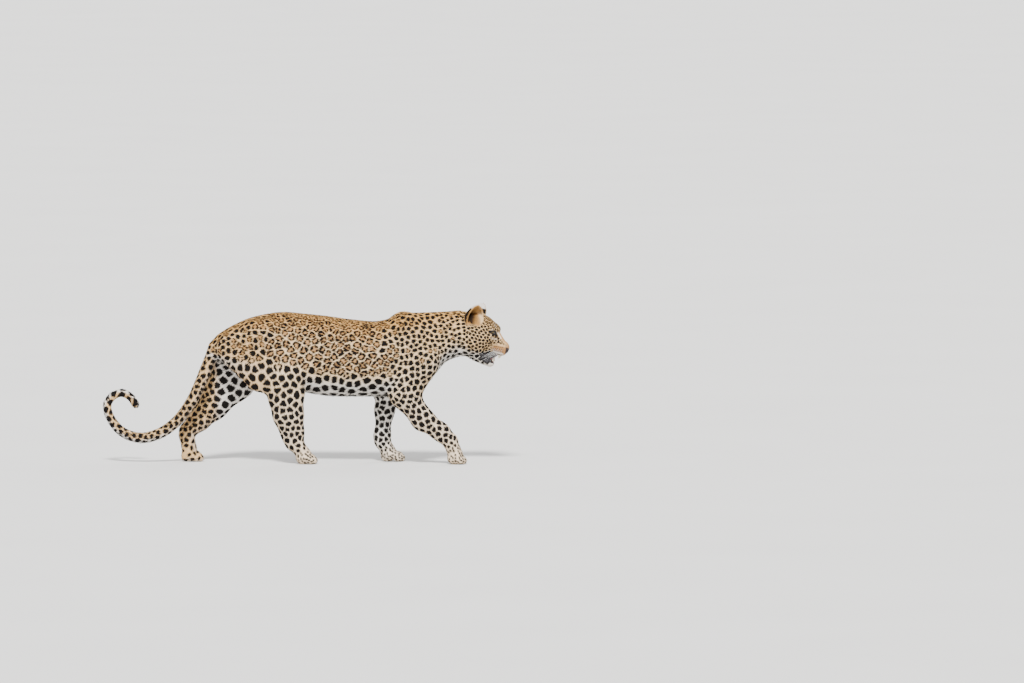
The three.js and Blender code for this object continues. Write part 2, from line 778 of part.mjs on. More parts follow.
// Where a ray from inside the head comes out of it, in the head's own frame
function skinPoint(from, way) {
  let inside = 0;
  let outside = rayReach;
  for (let turn = 0; turn < rayTurns; turn += 1) {
    const middle = (inside + outside) / 2;
    const point = from.clone().addScaledVector(way, middle);
    if (headField(point.applyMatrix4(headMatrix)) < 0) inside = middle;
    else outside = middle;
  }
  return from.clone().addScaledVector(way, inside);
}

// A rounded ridge along a path in the head's own frame
function ridge(path, radius, closed, steps) {
  const curve = new THREE.CatmullRomCurve3(path, closed);
  const section = new THREE.Shape().absarc(0, 0, radius, 0, Math.PI * 2);
  const tube = new THREE.ExtrudeGeometry(section, {
    extrudePath: curve,
    steps,
    bevelEnabled: false,
    curveSegments: lip.sides,
  });
  return solidOf(tube.applyMatrix4(headMatrix));
}

// A ball stretched and placed in the head's own frame
function ball(at, size, turn = 0, tip = 0, sides = ballSides) {
  const shape = new THREE.SphereGeometry(1, sides, Math.round(sides * ballRows));
  shape.scale(size.x, size.y, size.z);
  shape.rotateY(tip);
  shape.rotateZ(turn);
  shape.translate(at.x, at.y, at.z);
  return solidOf(shape.applyMatrix4(headMatrix));
}

// Path of a lip: from one corner of the mouth round the front to the other, along its line
function lipPath(front, depth) {
  const start = mouth.corner.x + lip.start;
  const middle = front.x - depth;
  const rise = (x) => THREE.MathUtils.mapLinear(x, mouth.corner.x, front.x, mouth.corner.z, front.z);
  const beside = (i, side) => {
    const x = THREE.MathUtils.lerp(start, middle, i / lip.sidePoints);
    return skinPoint(V(x, 0, rise(x)), V(0, side, 0));
  };
  const path = [];
  for (let i = 0; i < lip.sidePoints; i += 1) path.push(beside(i, -1));
  for (let i = 0; i <= lip.frontPoints; i += 1) {
    const a = (i / lip.frontPoints - 0.5) * Math.PI;
    const from = V(middle, 0, rise(middle + depth * Math.cos(a)));
    path.push(skinPoint(from, V(Math.cos(a), Math.sin(a), 0)));
  }
  for (let i = lip.sidePoints - 1; i >= 0; i -= 1) path.push(beside(i, 1));
  return path;
}

// Both lips, thicker all round by a clearance
function lips(clear) {
  const upper = ridge(lipPath(mouth.upperFront, lip.upperDepth), lip.radius + clear, false, lip.steps);
  return upper.add(ridge(lipPath(mouth.lower, lip.lowerDepth), lip.radius + clear, false, lip.steps));
}

// The way an eye looks, and its middle, set so that it stands a little proud of the face
function eyeWay(side) {
  return V(Math.cos(eye.turn), Math.sin(eye.turn) * side, eye.lift).normalize();
}
function eyeMiddle(side) {
  const from = V(eye.from.x, eye.from.y * side, eye.from.z);
  return skinPoint(from, eyeWay(side)).addScaledVector(eyeWay(side), eye.proud - eye.radius);
}

// An eyelid's rim: an almond round the eye, lying on the ball
function lids(side) {
  const middle = eyeMiddle(side);
  const way = eyeWay(side);
  const across = V(-way.y, way.x, 0).normalize().multiplyScalar(side);
  const up = way.clone().cross(across).multiplyScalar(-side).normalize();
  const path = [];
  for (let i = 0; i < lid.points; i += 1) {
    const a = (2 * Math.PI * i) / lid.points;
    const wide = Math.cos(a) * lid.half;
    const high = Math.sin(a) * lid.open + Math.cos(a) * lid.slant;
    const deep = Math.sqrt(Math.max(eye.radius ** 2 - wide ** 2 - high ** 2, 1)) + lid.proud;
    path.push(
      middle.clone().addScaledVector(way, deep).addScaledVector(across, wide).addScaledVector(up, high),
    );
  }
  return ridge(path, lid.radius, true, lid.steps);
}

// The cup of an ear: a shell open forwards and outwards, narrower towards its tip
function earCup(side) {
  const shell = (size) => {
    const shape = new THREE.SphereGeometry(1, ear.sides, ear.rows);
    shape.rotateX(Math.PI / 2);
    const position = shape.getAttribute("position");
    for (let i = 0; i < position.count; i += 1) {
      const up = position.getZ(i);
      const taper = 1 - ear.taper * Math.max(up, 0) ** 2;
      position.setXYZ(i, position.getX(i) * size.x, position.getY(i) * size.y * taper, up * size.z);
    }
    shape.rotateX(ear.lean * side);
    shape.rotateZ(ear.turn * side);
    shape.applyMatrix4(new THREE.Matrix4().makeShear(0, 0, 0, 0, ear.forward, 0));
    shape.translate(ear.at.x, ear.at.y * side, ear.at.z);
    return solidOf(shape.applyMatrix4(headMatrix));
  };
  const outer = shell(ear.size);
  const inner = shell(ear.size.clone().subScalar(ear.thick));
  const way = V(Math.cos(ear.turn), Math.sin(ear.turn) * side, ear.lift);
  const mouthOfEar = V(ear.at.x, ear.at.y * side, ear.at.z).addScaledVector(way, ear.rim);
  return outer.subtract(inner).subtract(beyond(toHead(mouthOfEar), headWay(way)));
}

const { low: headLow, high: headHigh, cell: headCell } = blocks.head;
let head = surface(neckField, headLow, headHigh, headCell);
const headClear = surface((p) => neckField(p) - gap, headLow, headHigh, headCell);
head = head.intersect(beyond(neckTop.at, neckTop.out, gap / 2));
head = head.subtract(mouthOpening()).add(lips(0));

for (const [word, side] of [["left", 1], ["right", -1]]) {
  const middle = eyeMiddle(side);
  const round = V(eye.radius, eye.radius, eye.radius);
  head = head.add(lids(side)).subtract(ball(middle, round.clone().addScalar(gap)));
  addPiece("eye_" + word, ball(middle, round), "eye");
  const cup = earCup(side).subtract(headClear).subtract(beyond(neckTop.at, neckTop.out.clone().negate()));
  addPiece("ear_" + word, cup, "coat");
  const nostrilAt = V(nostril.at.x, nostril.at.y * side, nostril.at.z);
  head = head.subtract(ball(nostrilAt, nostril.size, nostril.turn * side, 0, nostril.sides));
}

const nosePlanes = [
  { at: V(noseCut.front, 0, 0), out: V(1, 0, 0) },
  { at: V(0, noseCut.half, noseCut.high), out: V(0, -1, noseCut.sideSlope) },
  { at: V(0, -noseCut.half, noseCut.high), out: V(0, 1, noseCut.sideSlope) },
  { at: V(0, 0, noseCut.low), out: V(0, 0, 1) },
  { at: V(0, 0, noseCut.high), out: V(noseCut.topSlope, 0, -1) },
];
const noseSpace = (clear) =>
  nosePlanes.map((plane) => beyondHead(plane, -clear)).reduce((a, b) => a.intersect(b));
addPiece("nose", head.intersect(noseSpace(0)), "noseLeather");
head = head.subtract(noseSpace(gap));
addPiece("jaw", head.intersect(jawSpace(0)), "paleCoat");
head = head.subtract(jawSpace(gap));
addPiece("head", head, "coat");

// Tongue and canines stand on the floor and roof of the mouth
const floorWay = V(mouth.corner.z - mouth.lower.z, 0, mouth.lower.x - mouth.corner.x).normalize();
const roofWay = V(mouth.upper.z - mouth.corner.z, 0, mouth.corner.x - mouth.upper.x).normalize();
const aboveFloor = beyond(toHead(mouth.corner), headWay(floorWay), gap);
const belowRoof = beyond(toHead(mouth.corner), headWay(roofWay), gap);
const tongueTip = Math.atan2(floorWay.x, floorWay.z);
const tongueShape = ball(tongue.at, tongue.size, 0, tongueTip, tongue.sides);
const tongueRoom = aboveFloor.intersect(belowRoof).subtract(lips(2 * gap));
addPiece("tongue", tongueShape.intersect(tongueRoom), "tongue");
for (const [word, side] of [["left", 1], ["right", -1]]) {
  for (const [row, tooth] of Object.entries(canines)) {
    const way = row === "upper" ? roofWay : floorWay;
    const cone = new THREE.ConeGeometry(tooth.radius, tooth.height, canineSides);
    cone.translate(0, tooth.height / 2, 0);
    cone.applyQuaternion(new THREE.Quaternion().setFromUnitVectors(V(0, 1, 0), way));
    const root = V(tooth.x, 0, mouth.corner.z - (way.x / way.z) * (tooth.x - mouth.corner.x));
    root.y = skinPoint(root, V(0, side, 0)).y - side * (lip.radius + tooth.radius + tooth.inset);
    root.addScaledVector(way, gap);
    cone.translate(root.x, root.y, root.z);
    addPiece("canine_" + row + "_" + word, solidOf(cone.applyMatrix4(headMatrix)), "tooth");
  }
}

// The origin is on the ground, under the middle of the animal's outer box
const outerBox = new THREE.Box3().setFromObject(leopard, true);
const boxMiddle = outerBox.getCenter(new THREE.Vector3());
leopard.position.set(
  -Math.round(boxMiddle.x / originStep) * originStep,
  -Math.round(boxMiddle.y / originStep) * originStep,
  0,
);

export default leopard;
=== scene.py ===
"""A life-size leopard in mid stride: skin, spotted coat, face and studio floor.

The sizes of the body are millimetres along X (tail to nose), Y (right to left) and Z (up).
Every shape is worked out in them and set into its mesh in metres.
"""

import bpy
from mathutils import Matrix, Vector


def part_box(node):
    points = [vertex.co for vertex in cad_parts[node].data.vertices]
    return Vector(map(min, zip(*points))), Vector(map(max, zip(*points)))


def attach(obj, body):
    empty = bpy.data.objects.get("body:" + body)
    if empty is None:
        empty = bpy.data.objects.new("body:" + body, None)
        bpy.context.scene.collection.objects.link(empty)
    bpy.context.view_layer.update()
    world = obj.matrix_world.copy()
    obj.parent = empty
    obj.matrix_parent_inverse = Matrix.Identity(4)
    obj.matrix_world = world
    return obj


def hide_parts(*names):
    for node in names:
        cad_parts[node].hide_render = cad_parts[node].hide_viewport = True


bl_info = {
    "name": "Leopard in Mid Stride",
    "version": (1, 0, 0),
    "blender": (4, 5, 0),
    "location": "3D View > Sidebar > Leopard",
    "description": "Builds the skin, coat and face of a life-size leopard on its frame",
    "category": "Object",
}

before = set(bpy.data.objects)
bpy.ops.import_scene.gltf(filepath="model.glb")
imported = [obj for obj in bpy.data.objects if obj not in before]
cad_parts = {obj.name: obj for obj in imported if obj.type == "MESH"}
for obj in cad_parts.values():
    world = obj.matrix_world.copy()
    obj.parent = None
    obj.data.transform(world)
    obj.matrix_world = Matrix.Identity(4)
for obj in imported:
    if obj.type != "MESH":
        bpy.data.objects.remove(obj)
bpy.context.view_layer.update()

import math

import bmesh
import bpy
import numpy as np
import openvdb
from mathutils import Matrix, Vector

MM = 0.001
BODY = "root"

# Back line, belly line and half width of trunk and neck, at stations along X
TRUNK = np.array([
    (-402, 508, 458, 24),
    (-352, 560, 428, 60),
    (-287, 598, 396, 86),
    (-209, 628, 366, 98),
    (-100, 647, 330, 100),
    (0, 641, 298, 97),
    (90, 631, 283, 103),
    (200, 615, 281, 116),
    (312, 608, 284, 120),
    (429, 640, 292, 110),
    (520, 646, 340, 96),
    (598, 648, 425, 82),
    (663, 651, 452, 75),
    (725, 634, 474, 68),
], float)
TRUNK_SQUARENESS = 2.2
TRUNK_PEAR = 0.13

# Limbs: flatness across Y, and a chain of joints as X, Y, Z and radius
LIMBS = {
    "foreRight": [(0.72, [(432, -58, 590, 46), (500, -96, 432, 60), (428, -90, 292, 60),
                          (500, -82, 192, 48), (575, -75, 139, 38), (616, -72, 100, 34)])],
    "foreLeft": [(0.72, [(415, 58, 588, 46), (470, 94, 432, 60), (352, 88, 300, 56),
                         (337, 80, 217, 42), (327, 72, 110, 33), (328, 70, 84, 32)])],
    "hindRight": [(0.64, [(-190, -74, 530, 84), (-96, -86, 372, 84), (-80, -82, 285, 73),
                          (-70, -76, 210, 65), (-54, -68, 140, 49), (-46, -66, 96, 43)]),
                  (0.62, [(-300, -62, 490, 62), (-190, -80, 372, 66)])],
    "hindLeft": [(0.64, [(-215, 74, 525, 84), (-305, 84, 348, 92), (-395, 80, 240, 66),
                         (-452, 74, 178, 47), (-499, 70, 133, 34), (-505, 69, 112, 30)]),
                 (0.62, [(-318, 60, 490, 60), (-385, 78, 330, 58)])],
}
# Paws: ankle, ball, toe tips and width across the toes
PAWS = {
    "foreRight": ((616, -72, 100), (640, -70, 40), (676, -70, 17), 78),
    "foreLeft": ((328, 70, 84), (356, 70, 38), (412, 71, 17), 78),
    "hindRight": ((-46, -66, 96), (-2, -66, 38), (42, -66, 17), 70),
    "hindLeft": ((-505, 69, 112), (-492, 68, 40), (-446, 68, 17), 70),
}
TOE_RADIUS = 18
TOES = 4
LIMB_BLEND = 55
JOINT_BLEND = 26

# Middle line of the tail, from its root to its tip
TAIL = np.array([
    (-350, 0, 512), (-384, -2, 478), (-414, -8, 412), (-448, -14, 331), (-489, -16, 251),
    (-546, -14, 178), (-616, -10, 127), (-697, -6, 106), (-775, -2, 130), (-826, 0, 187),
    (-841, 0, 246), (-816, 0, 285), (-777, 0, 297), (-742, 0, 279), (-722, 0, 250),
], float)
TAIL_ROOT_RADIUS = 33
TAIL_TIP_RADIUS = 19

# The head's own frame, and its shapes in it: X forwards, Y left, Z up
HEAD_MIDDLE = np.array([745.0, -4.0, 545.0])
HEAD_TURN = math.radians(-12)
HEAD_TIP = math.radians(12)
HEAD_STARTS = 640.0
# Boxes that hold the body and the head, for their surfaces
BODY_LOW = np.array([-885.0, -165.0, -8.0])
BODY_HIGH = np.array([705.0, 165.0, 690.0])
HEAD_LOW = np.array([672.0, -125.0, 395.0])
HEAD_HIGH = np.array([885.0, 112.0, 700.0])
EYE_FROM = np.array([30.0, 13.0, 22.0])
EYE_RADIUS = 14.5
EYE_TURN = math.radians(42)
EYE_LIFT = 0.12
# The lids: half width of the opening, its height above and below the middle line, their tilt,
# and how far the skin stands back from the opening for the lids' own piece
LID_HALF = 12.4
LID_UPPER = 3.4
LID_LOWER = 3.3
LID_TILT = 0.15
LID_DROOP = 0.035
LID_REACH = 3.2
LID_THICK = 2.4
MOUTH_CORNER = (26.0, -75.0)
MOUTH_UPPER = (150.0, -60.0)
MOUTH_LOWER = (90.0, -98.0)
FOLD_FROM = (84.0, -62.0)
BLACK_LIP = ((22.0, -73.0), (71.0, -58.0), (94.0, -67.0), (58.0, -113.0), (31.0, -97.0))
FOLD_WAVES = 28.0
LIP_RISE = 1.5
LIP_FOLD = 1.0
WHISKER_ROWS = 3
EAR_AT = np.array([-30.0, 50.0, 74.0])
EAR_SIZE = np.array([46.0, 36.0, 55.0])
EAR_TURN = math.radians(48)
EAR_LEAN = math.radians(-14)
EAR_FORWARD = 0.28
EAR_LIFT = -0.07
EAR_TAPER = 0.22
EAR_RIM = 6.0
EAR_HALF_THICK = 2.3
EAR_WAY = np.array([math.cos(EAR_TURN), math.sin(EAR_TURN), EAR_LIFT]) / math.hypot(1, EAR_LIFT)
EAR_CANAL = ((-26.0, 53.0, 60.0), (19.0, 15.0, 26.0))

# The photograph: millimetres to a pixel at the animal, and the pixel at the frame's middle
PHOTO_WIDTH = 1024
PHOTO_MM_PER_PIXEL = 4.25
PHOTO_ORIGIN_PIXEL = (305, 463)
PHOTO_MIDDLE_PIXEL = (512, 341.5)
CAMERA_DISTANCE = 45.0
CAMERA_RISE = math.radians(4.3)
SENSOR_WIDTH = 36.0

# Two cut planes of the legs, in the body's own millimetres: they tell how far the frame moved
CUT_FORELEG_X = 340.0
CUT_HINDLEG_Y = -6.0

FLESH = ["torso", "neck", "head", "jaw", "nose", "ear_left", "ear_right"]
FLESH += ["tail_%d" % (i + 1) for i in range(5)]
FLESH += ["foreleg_%s_%s" % (s, p) for s in ("left", "right") for p in ("upper", "forearm", "paw")]
FLESH += ["hindleg_%s_%s" % (s, p) for s in ("left", "right") for p in ("thigh", "shank", "paw")]


def frame_shift():
    """Millimetres from the body's own origin to the frame's origin."""
    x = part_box("foreleg_right_upper")[0][0] / MM - CUT_FORELEG_X
    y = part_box("hindleg_right_thigh")[1][1] / MM - CUT_HINDLEG_Y
    return np.array([x, y, 0.0])


SHIFT = frame_shift()


def rotation(turn, tip):
    """Rotation about Z by turn after a rotation about Y by tip, as a 3 by 3 array."""
    ct, st, cp, sp = math.cos(turn), math.sin(turn), math.cos(tip), math.sin(tip)
    about_z = np.array([[ct, -st, 0], [st, ct, 0], [0, 0, 1]])
    about_y = np.array([[cp, 0, sp], [0, 1, 0], [-sp, 0, cp]])
    return about_z @ about_y


HEAD_AXES = rotation(HEAD_TURN, HEAD_TIP)


def to_head(p):
    """Body points in the head's own frame: the head's axes dotted with p minus its middle."""
    return (p - HEAD_MIDDLE) @ HEAD_AXES


def from_head(q):
    """Points of the head's own frame in the body's."""
    return q @ HEAD_AXES.T + HEAD_MIDDLE


def blend(a, b, width):
    """Smaller of two fields, less h squared times a quarter width where they are near."""
    h = np.maximum(width - np.abs(a - b), 0) / width
    return np.minimum(a, b) - h * h * (width / 4)


def segment(p, a, b, ra, rb, flat=1.0):
    """Distance to a line from a to b, less a radius that goes from ra to rb along it."""
    a, b = np.asarray(a, float), np.asarray(b, float)
    d = b - a
    px, py, pz = p[..., 0] - a[0], p[..., 1] - a[1], p[..., 2] - a[2]
    t = np.clip((px * d[0] + py * d[1] + pz * d[2]) / (d @ d), 0, 1)
    x, y, z = px - d[0] * t, (py - d[1] * t) / flat, pz - d[2] * t
    return np.sqrt(x * x + y * y + z * z) - (ra + (rb - ra) * t)


def ellipsoid(p, centre, size):
    """k0 (k0 - 1) / k1, where k0 and k1 are the lengths of p over size and over size squared."""
    x = (p[..., 0] - centre[0]) / size[0]
    y = (p[..., 1] - centre[1]) / size[1]
    z = (p[..., 2] - centre[2]) / size[2]
    k0 = np.sqrt(x * x + y * y + z * z)
    k1 = np.sqrt((x / size[0]) ** 2 + (y / size[1]) ** 2 + (z / size[2]) ** 2)
    return k0 * (k0 - 1) / np.maximum(k1, 1e-9)


def limb_chain(p, flat, chain):
    """Segments from joint to joint, blended."""
    d = None
    for a, b in zip(chain[:-1], chain[1:]):
        piece = segment(p, a[:3], b[:3], a[3], b[3], flat)
        d = piece if d is None else blend(d, piece, JOINT_BLEND)
    return d


def along(x, column):
    """Cubic through a trunk station's values, with slopes from the neighbours on both sides."""
    xs, values = TRUNK[:, 0], TRUNK[:, column]
    before = np.maximum(np.arange(len(xs)) - 1, 0)
    after = np.minimum(np.arange(len(xs)) + 1, len(xs) - 1)
    slopes = (values[after] - values[before]) / (xs[after] - xs[before])
    i = np.clip(np.searchsorted(xs, x, side="left") - 1, 0, len(xs) - 2)
    w = xs[i + 1] - xs[i]
    t = np.clip((x - xs[i]) / w, 0, 1)
    t2, t3 = t * t, t * t * t
    return ((2 * t3 - 3 * t2 + 1) * values[i] + (t3 - 2 * t2 + t) * w * slopes[i]
            + (3 * t2 - 2 * t3) * values[i + 1] + (t3 - t2) * w * slopes[i + 1])


def trunk_field(p):
    """At each X, a rounded upright oval that is a little narrower above than below."""
    x = p[..., 0]
    back, belly, half = along(x, 1), along(x, 2), along(x, 3)
    tall = (back - belly) / 2
    t = (p[..., 2] - (back + belly) / 2) / tall
    wide = half * (1 - TRUNK_PEAR * np.clip(t, -1, 1))
    n = TRUNK_SQUARENESS
    reach = (np.abs(t) ** n + np.abs(p[..., 1] / wide) ** n) ** (1 / n)
    around = (reach - 1) * np.minimum(tall, half)
    past = np.maximum(np.maximum(TRUNK[0, 0] - x, x - TRUNK[-1, 0]), 0)
    return np.where(past > 0, np.hypot(np.maximum(around, 0), past), around)


def paw_field(p, paw):
    """The foot down to its ball, blended with a pad and with toes spread from it."""
    start, ball, toes, width = (np.asarray(v, float) for v in paw)
    d = segment(p, start, ball, 32, 33, 0.98)
    d = blend(d, ellipsoid(p, (ball[0] - 6, ball[1], 22), (30, width * 0.42, 25)), 14)
    for i in range(TOES):
        side = i / (TOES - 1) - 0.5
        tuck = 64 * side * side
        spread = toes[1] + side * (width - 2 * TOE_RADIUS)
        root = (ball[0] + 4, ball[1] + side * width * 0.5, ball[2] - 4)
        knuckle = (toes[0] - 14 - tuck, spread, toes[2] + 8)
        tip = (toes[0] - tuck, spread, toes[2] - 2)
        d = blend(d, segment(p, root, knuckle, TOE_RADIUS, TOE_RADIUS, 0.95), 6)
        d = blend(d, segment(p, knuckle, tip, TOE_RADIUS, TOE_RADIUS - 2, 0.95), 4)
    return d


def limb_field(p, side):
    """All chains of a limb, blended, and its paw."""
    d = None
    for flat, chain in LIMBS[side]:
        piece = limb_chain(p, flat, chain)
        d = piece if d is None else blend(d, piece, 40)
    return blend(d, paw_field(p, PAWS[side]), 12)


def tail_curve(count):
    """Points along the tail: a Catmull-Rom curve through its named points, evenly spaced."""
    ends = np.vstack([2 * TAIL[0] - TAIL[1], TAIL, 2 * TAIL[-1] - TAIL[-2]])
    t = np.linspace(0, len(TAIL) - 1 - 1e-9, 40 * len(TAIL))
    i = t.astype(int)
    u = (t - i)[:, None]
    a, b, c, d = ends[i], ends[i + 1], ends[i + 2], ends[i + 3]
    curve = 0.5 * (2 * b + (c - a) * u + (2 * a - 5 * b + 4 * c - d) * u ** 2
                   + (3 * b - a - 3 * c + d) * u ** 3)
    run = np.concatenate([[0], np.cumsum(np.linalg.norm(np.diff(curve, axis=0), axis=1))])
    even = np.linspace(0, run[-1], count)
    return np.stack([np.interp(even, run, curve[:, k]) for k in range(3)], 1)


TAIL_STEPS = 60
TAIL_LINE = tail_curve(TAIL_STEPS)
TAIL_WAYS = np.gradient(TAIL_LINE, axis=0)
TAIL_WAYS /= np.linalg.norm(TAIL_WAYS, axis=1)[:, None]


def tail_radius(t):
    """Radius at a share t of the tail's length."""
    return TAIL_ROOT_RADIUS - 2 + (TAIL_TIP_RADIUS - TAIL_ROOT_RADIUS + 2) * t ** 0.9


def tail_place(p):
    """For each point, the nearest tail step, and its distance there less the radius."""
    best = np.full(p.shape[:-1], 1e6)
    step = np.zeros(p.shape[:-1])
    for i in range(TAIL_STEPS - 1):
        a, b = TAIL_LINE[i], TAIL_LINE[i + 1]
        share = i / (TAIL_STEPS - 1)
        d = segment(p, a, b, tail_radius(share), tail_radius(share + 1 / (TAIL_STEPS - 1)))
        step = np.where(d < best, i, step)
        best = np.minimum(best, d)
    return best, step / (TAIL_STEPS - 1)


def mirrored(q):
    """Head points with Y made positive, so that one shape serves both sides."""
    return np.stack([q[..., 0], np.abs(q[..., 1]), q[..., 2]], -1)


def by_side(q, start, end):
    """Distance in the side view from head points to a line between two of them."""
    d = np.array([end[0] - start[0], end[1] - start[1]], float)
    x, z = q[..., 0] - start[0], q[..., 2] - start[1]
    t = np.clip((x * d[0] + z * d[1]) / (d @ d), 0, 1)
    return np.hypot(x - d[0] * t, z - d[1] * t)


def past_line(q, start, end):
    """How far a head point lies below a line of the side view."""
    dx, dz = end[0] - start[0], end[1] - start[1]
    return ((q[..., 0] - start[0]) * dz - (q[..., 2] - start[1]) * dx) / math.hypot(dx, dz)


def mouth_wedge(q):
    """Field of the open mouth: below zero under the upper lip's line and over the lower's."""
    return np.maximum(-past_line(q, MOUTH_CORNER, MOUTH_UPPER),
                      past_line(q, MOUTH_CORNER, MOUTH_LOWER))


def mouth_cavity(q):
    """Hollow inside the mouth, with the arch of the palate above the tongue."""
    return ellipsoid(q, (76, 0, -84), (46, 17, 19))


def fold_ridges(q):
    """Folds of the lip: waves of the angle round a point of the upper lip, none close to it."""
    angle = np.arctan2(q[..., 2] - FOLD_FROM[1], q[..., 0] - FOLD_FROM[0])
    away = np.hypot(q[..., 0] - FOLD_FROM[0], q[..., 2] - FOLD_FROM[1])
    return np.sin(angle * FOLD_WAVES) * ramp(away, 12, 26)


def black_lip(q):
    """Distance outside the bare black lip in the side view: the farthest of its edges' lines."""
    corners = np.array(BLACK_LIP)
    d = np.full(q.shape[:-1], -1e3)
    for a, b in zip(corners, np.roll(corners, -1, 0)):
        d = np.maximum(d, -past_line(q, a, b))
    return d


def mouth_web(q):
    """Wall of lip and cheek that joins the jaws behind the teeth, drawn in and folded."""
    front = 80 + 0.6 * (q[..., 2] + 85)
    wide = 20 + 0.25 * (q[..., 2] + 98) - 0.12 * (q[..., 0] - 40) + 16 * ramp(52 - q[..., 0], 0, 24)
    d = np.maximum(np.abs(q[..., 1]) - wide, q[..., 0] - front)
    d = np.maximum(d, mouth_wedge(q) - 6)
    return np.maximum(d, 10 - q[..., 0])


def plain_head_field(q):
    """The head before its mouth, eyes and ears, in its own frame."""
    m = mirrored(q)
    d = ellipsoid(q, (-6, 0, 23), (76, 63, 65))
    d = blend(d, ellipsoid(m, (-8, 42, -24), (56, 34, 52)), 30)
    d = blend(d, segment(q, (46, 0, -18), (98, 0, -38), 45, 31, 1.02), 26)
    d = blend(d, segment(q, (42, 0, 28), (112, 0, -24), 29, 16, 1.15), 22)
    d = blend(d, ellipsoid(m, (48, 27, 39), (30, 20, 21)), 16)
    d = blend(d, ellipsoid(m, (36, 44, 2), (34, 20, 20)), 20)
    d = blend(d, ellipsoid(q, (118, 0, -35), (15, 17, 17)), 8)
    d = blend(d, ellipsoid(q, (-8, 0, -62), (56, 44, 38)), 30)
    d = blend(d, segment(q, (6, 0, -84), (66, 0, -106), 34, 21, 1.1), 14)
    return blend(d, ellipsoid(m, (101, 18, -42), (27, 20, 22)), 8)


def eye_way(side=1):
    """Unit vector that an eye looks along, in the head's frame."""
    way = np.array([math.cos(EYE_TURN), math.sin(EYE_TURN) * side, EYE_LIFT])
    return way / np.linalg.norm(way)


def lid_line(wide):
    """Middle line of the eye's opening: tipped up outwards, with the inner corner drawn down."""
    return LID_TILT * wide - LID_DROOP * np.minimum(wide + 4, 0) ** 2


def eye_middle(side=1):
    """The eye's middle: where its ray leaves the head, less most of its radius."""
    start = EYE_FROM * np.array([1, side, 1])
    reach = np.linspace(0, 80, 1601)
    inside = plain_head_field(start + reach[:, None] * eye_way(side)) < 0
    out = reach[np.nonzero(inside)[0].max()]
    return start + (out + EYE_PROUD - EYE_RADIUS) * eye_way(side)


EYE_PROUD = 1.2
# Relief of the face: place, reach and height of each bump, or depth of each hollow
FACE_RELIEF = (
    ((22, 60, -4), (30, 14, 8), 2.5),
    ((-14, 62, -30), (24, 14, 26), 3.0),
    ((60, 38, -20), (12, 12, 16), -3.0),
    ((58, 0, 42), (14, 8, 12), -1.6),
    ((4, 54, 50), (22, 12, 16), -2.5),
    ((96, 26, -17), (20, 8, 4.5), -1.8),
    ((72, 16, 4), (22, 6, 10), -1.6),
    ((100, 24, -48), (14, 10, 12), 1.6),
    ((120, 23, -40), (9, 9, 13), -4.5),
    ((30, 44, 44), (14, 10, 5), 1.6),
    ((34, 36, -2), (16, 12, 4), -1.2),
    ((0, 0, 84), (50, 9, 12), 1.4),
)
# Muscle and bone of the body, in the same way
BODY_RELIEF = (
    ((470, 92, 560), (60, 40, 26), 4.0),
    ((505, 100, 440), (40, 40, 34), 4.0),
    ((300, 110, 400), (130, 40, 60), 2.0),
    ((-150, 80, 560), (60, 50, 40), 3.0),
    ((385, 100, 470), (24, 50, 110), -5.0),
    ((40, 90, 350), (46, 50, 70), -6.0),
    ((-30, 60, 590), (50, 50, 24), -2.5),
    ((560, 70, 560), (22, 50, 70), -3.0),
)
EYE_AT = eye_middle()


def eye_axes(side=1):
    """Across and up of an eye's opening, square to the way it looks."""
    way = eye_way(side)
    across = np.array([-way[1], way[0], 0])
    across /= np.linalg.norm(across)
    return across, np.cross(way, across)


def lid_opening(m):
    """Almond between the lids: below zero where both arcs leave the eye open."""
    across, up = eye_axes()
    away = m - EYE_AT
    wide = away @ across
    high = away @ up - lid_line(wide)
    arch = 1 - (wide / LID_HALF) ** 2
    return np.maximum(high - LID_UPPER * arch, -high - LID_LOWER * arch), away @ eye_way()


def smooth_cut(a, b, width):
    """Field a with field b taken away, with its edge rounded."""
    return -blend(-a, b, width)


def ear_axes(m):
    """Points about the ear, along its opening, across it and up it, once its lean is undone."""
    away = m - EAR_AT
    x = away[..., 0] - EAR_FORWARD * away[..., 2]
    ct, st = math.cos(EAR_TURN), math.sin(EAR_TURN)
    x, y, z = x * ct + away[..., 1] * st, -x * st + away[..., 1] * ct, away[..., 2]
    cl, sl = math.cos(EAR_LEAN), math.sin(EAR_LEAN)
    y, z = y * cl + z * sl, -y * sl + z * cl
    y = y / (1 - EAR_TAPER * np.clip(z / EAR_SIZE[2], 0, 1) ** 2)
    return np.stack([x, y, z], -1)


def ear_field(q):
    """A thin shell round a tapered ellipsoid, open forwards and outwards."""
    m = mirrored(q)
    outside = ellipsoid(ear_axes(m), (0, 0, 0), EAR_SIZE - EAR_HALF_THICK)
    rim = (m - EAR_AT) @ EAR_WAY - EAR_RIM
    return -blend(-(np.abs(outside) - EAR_HALF_THICK), -rim, 3.0)


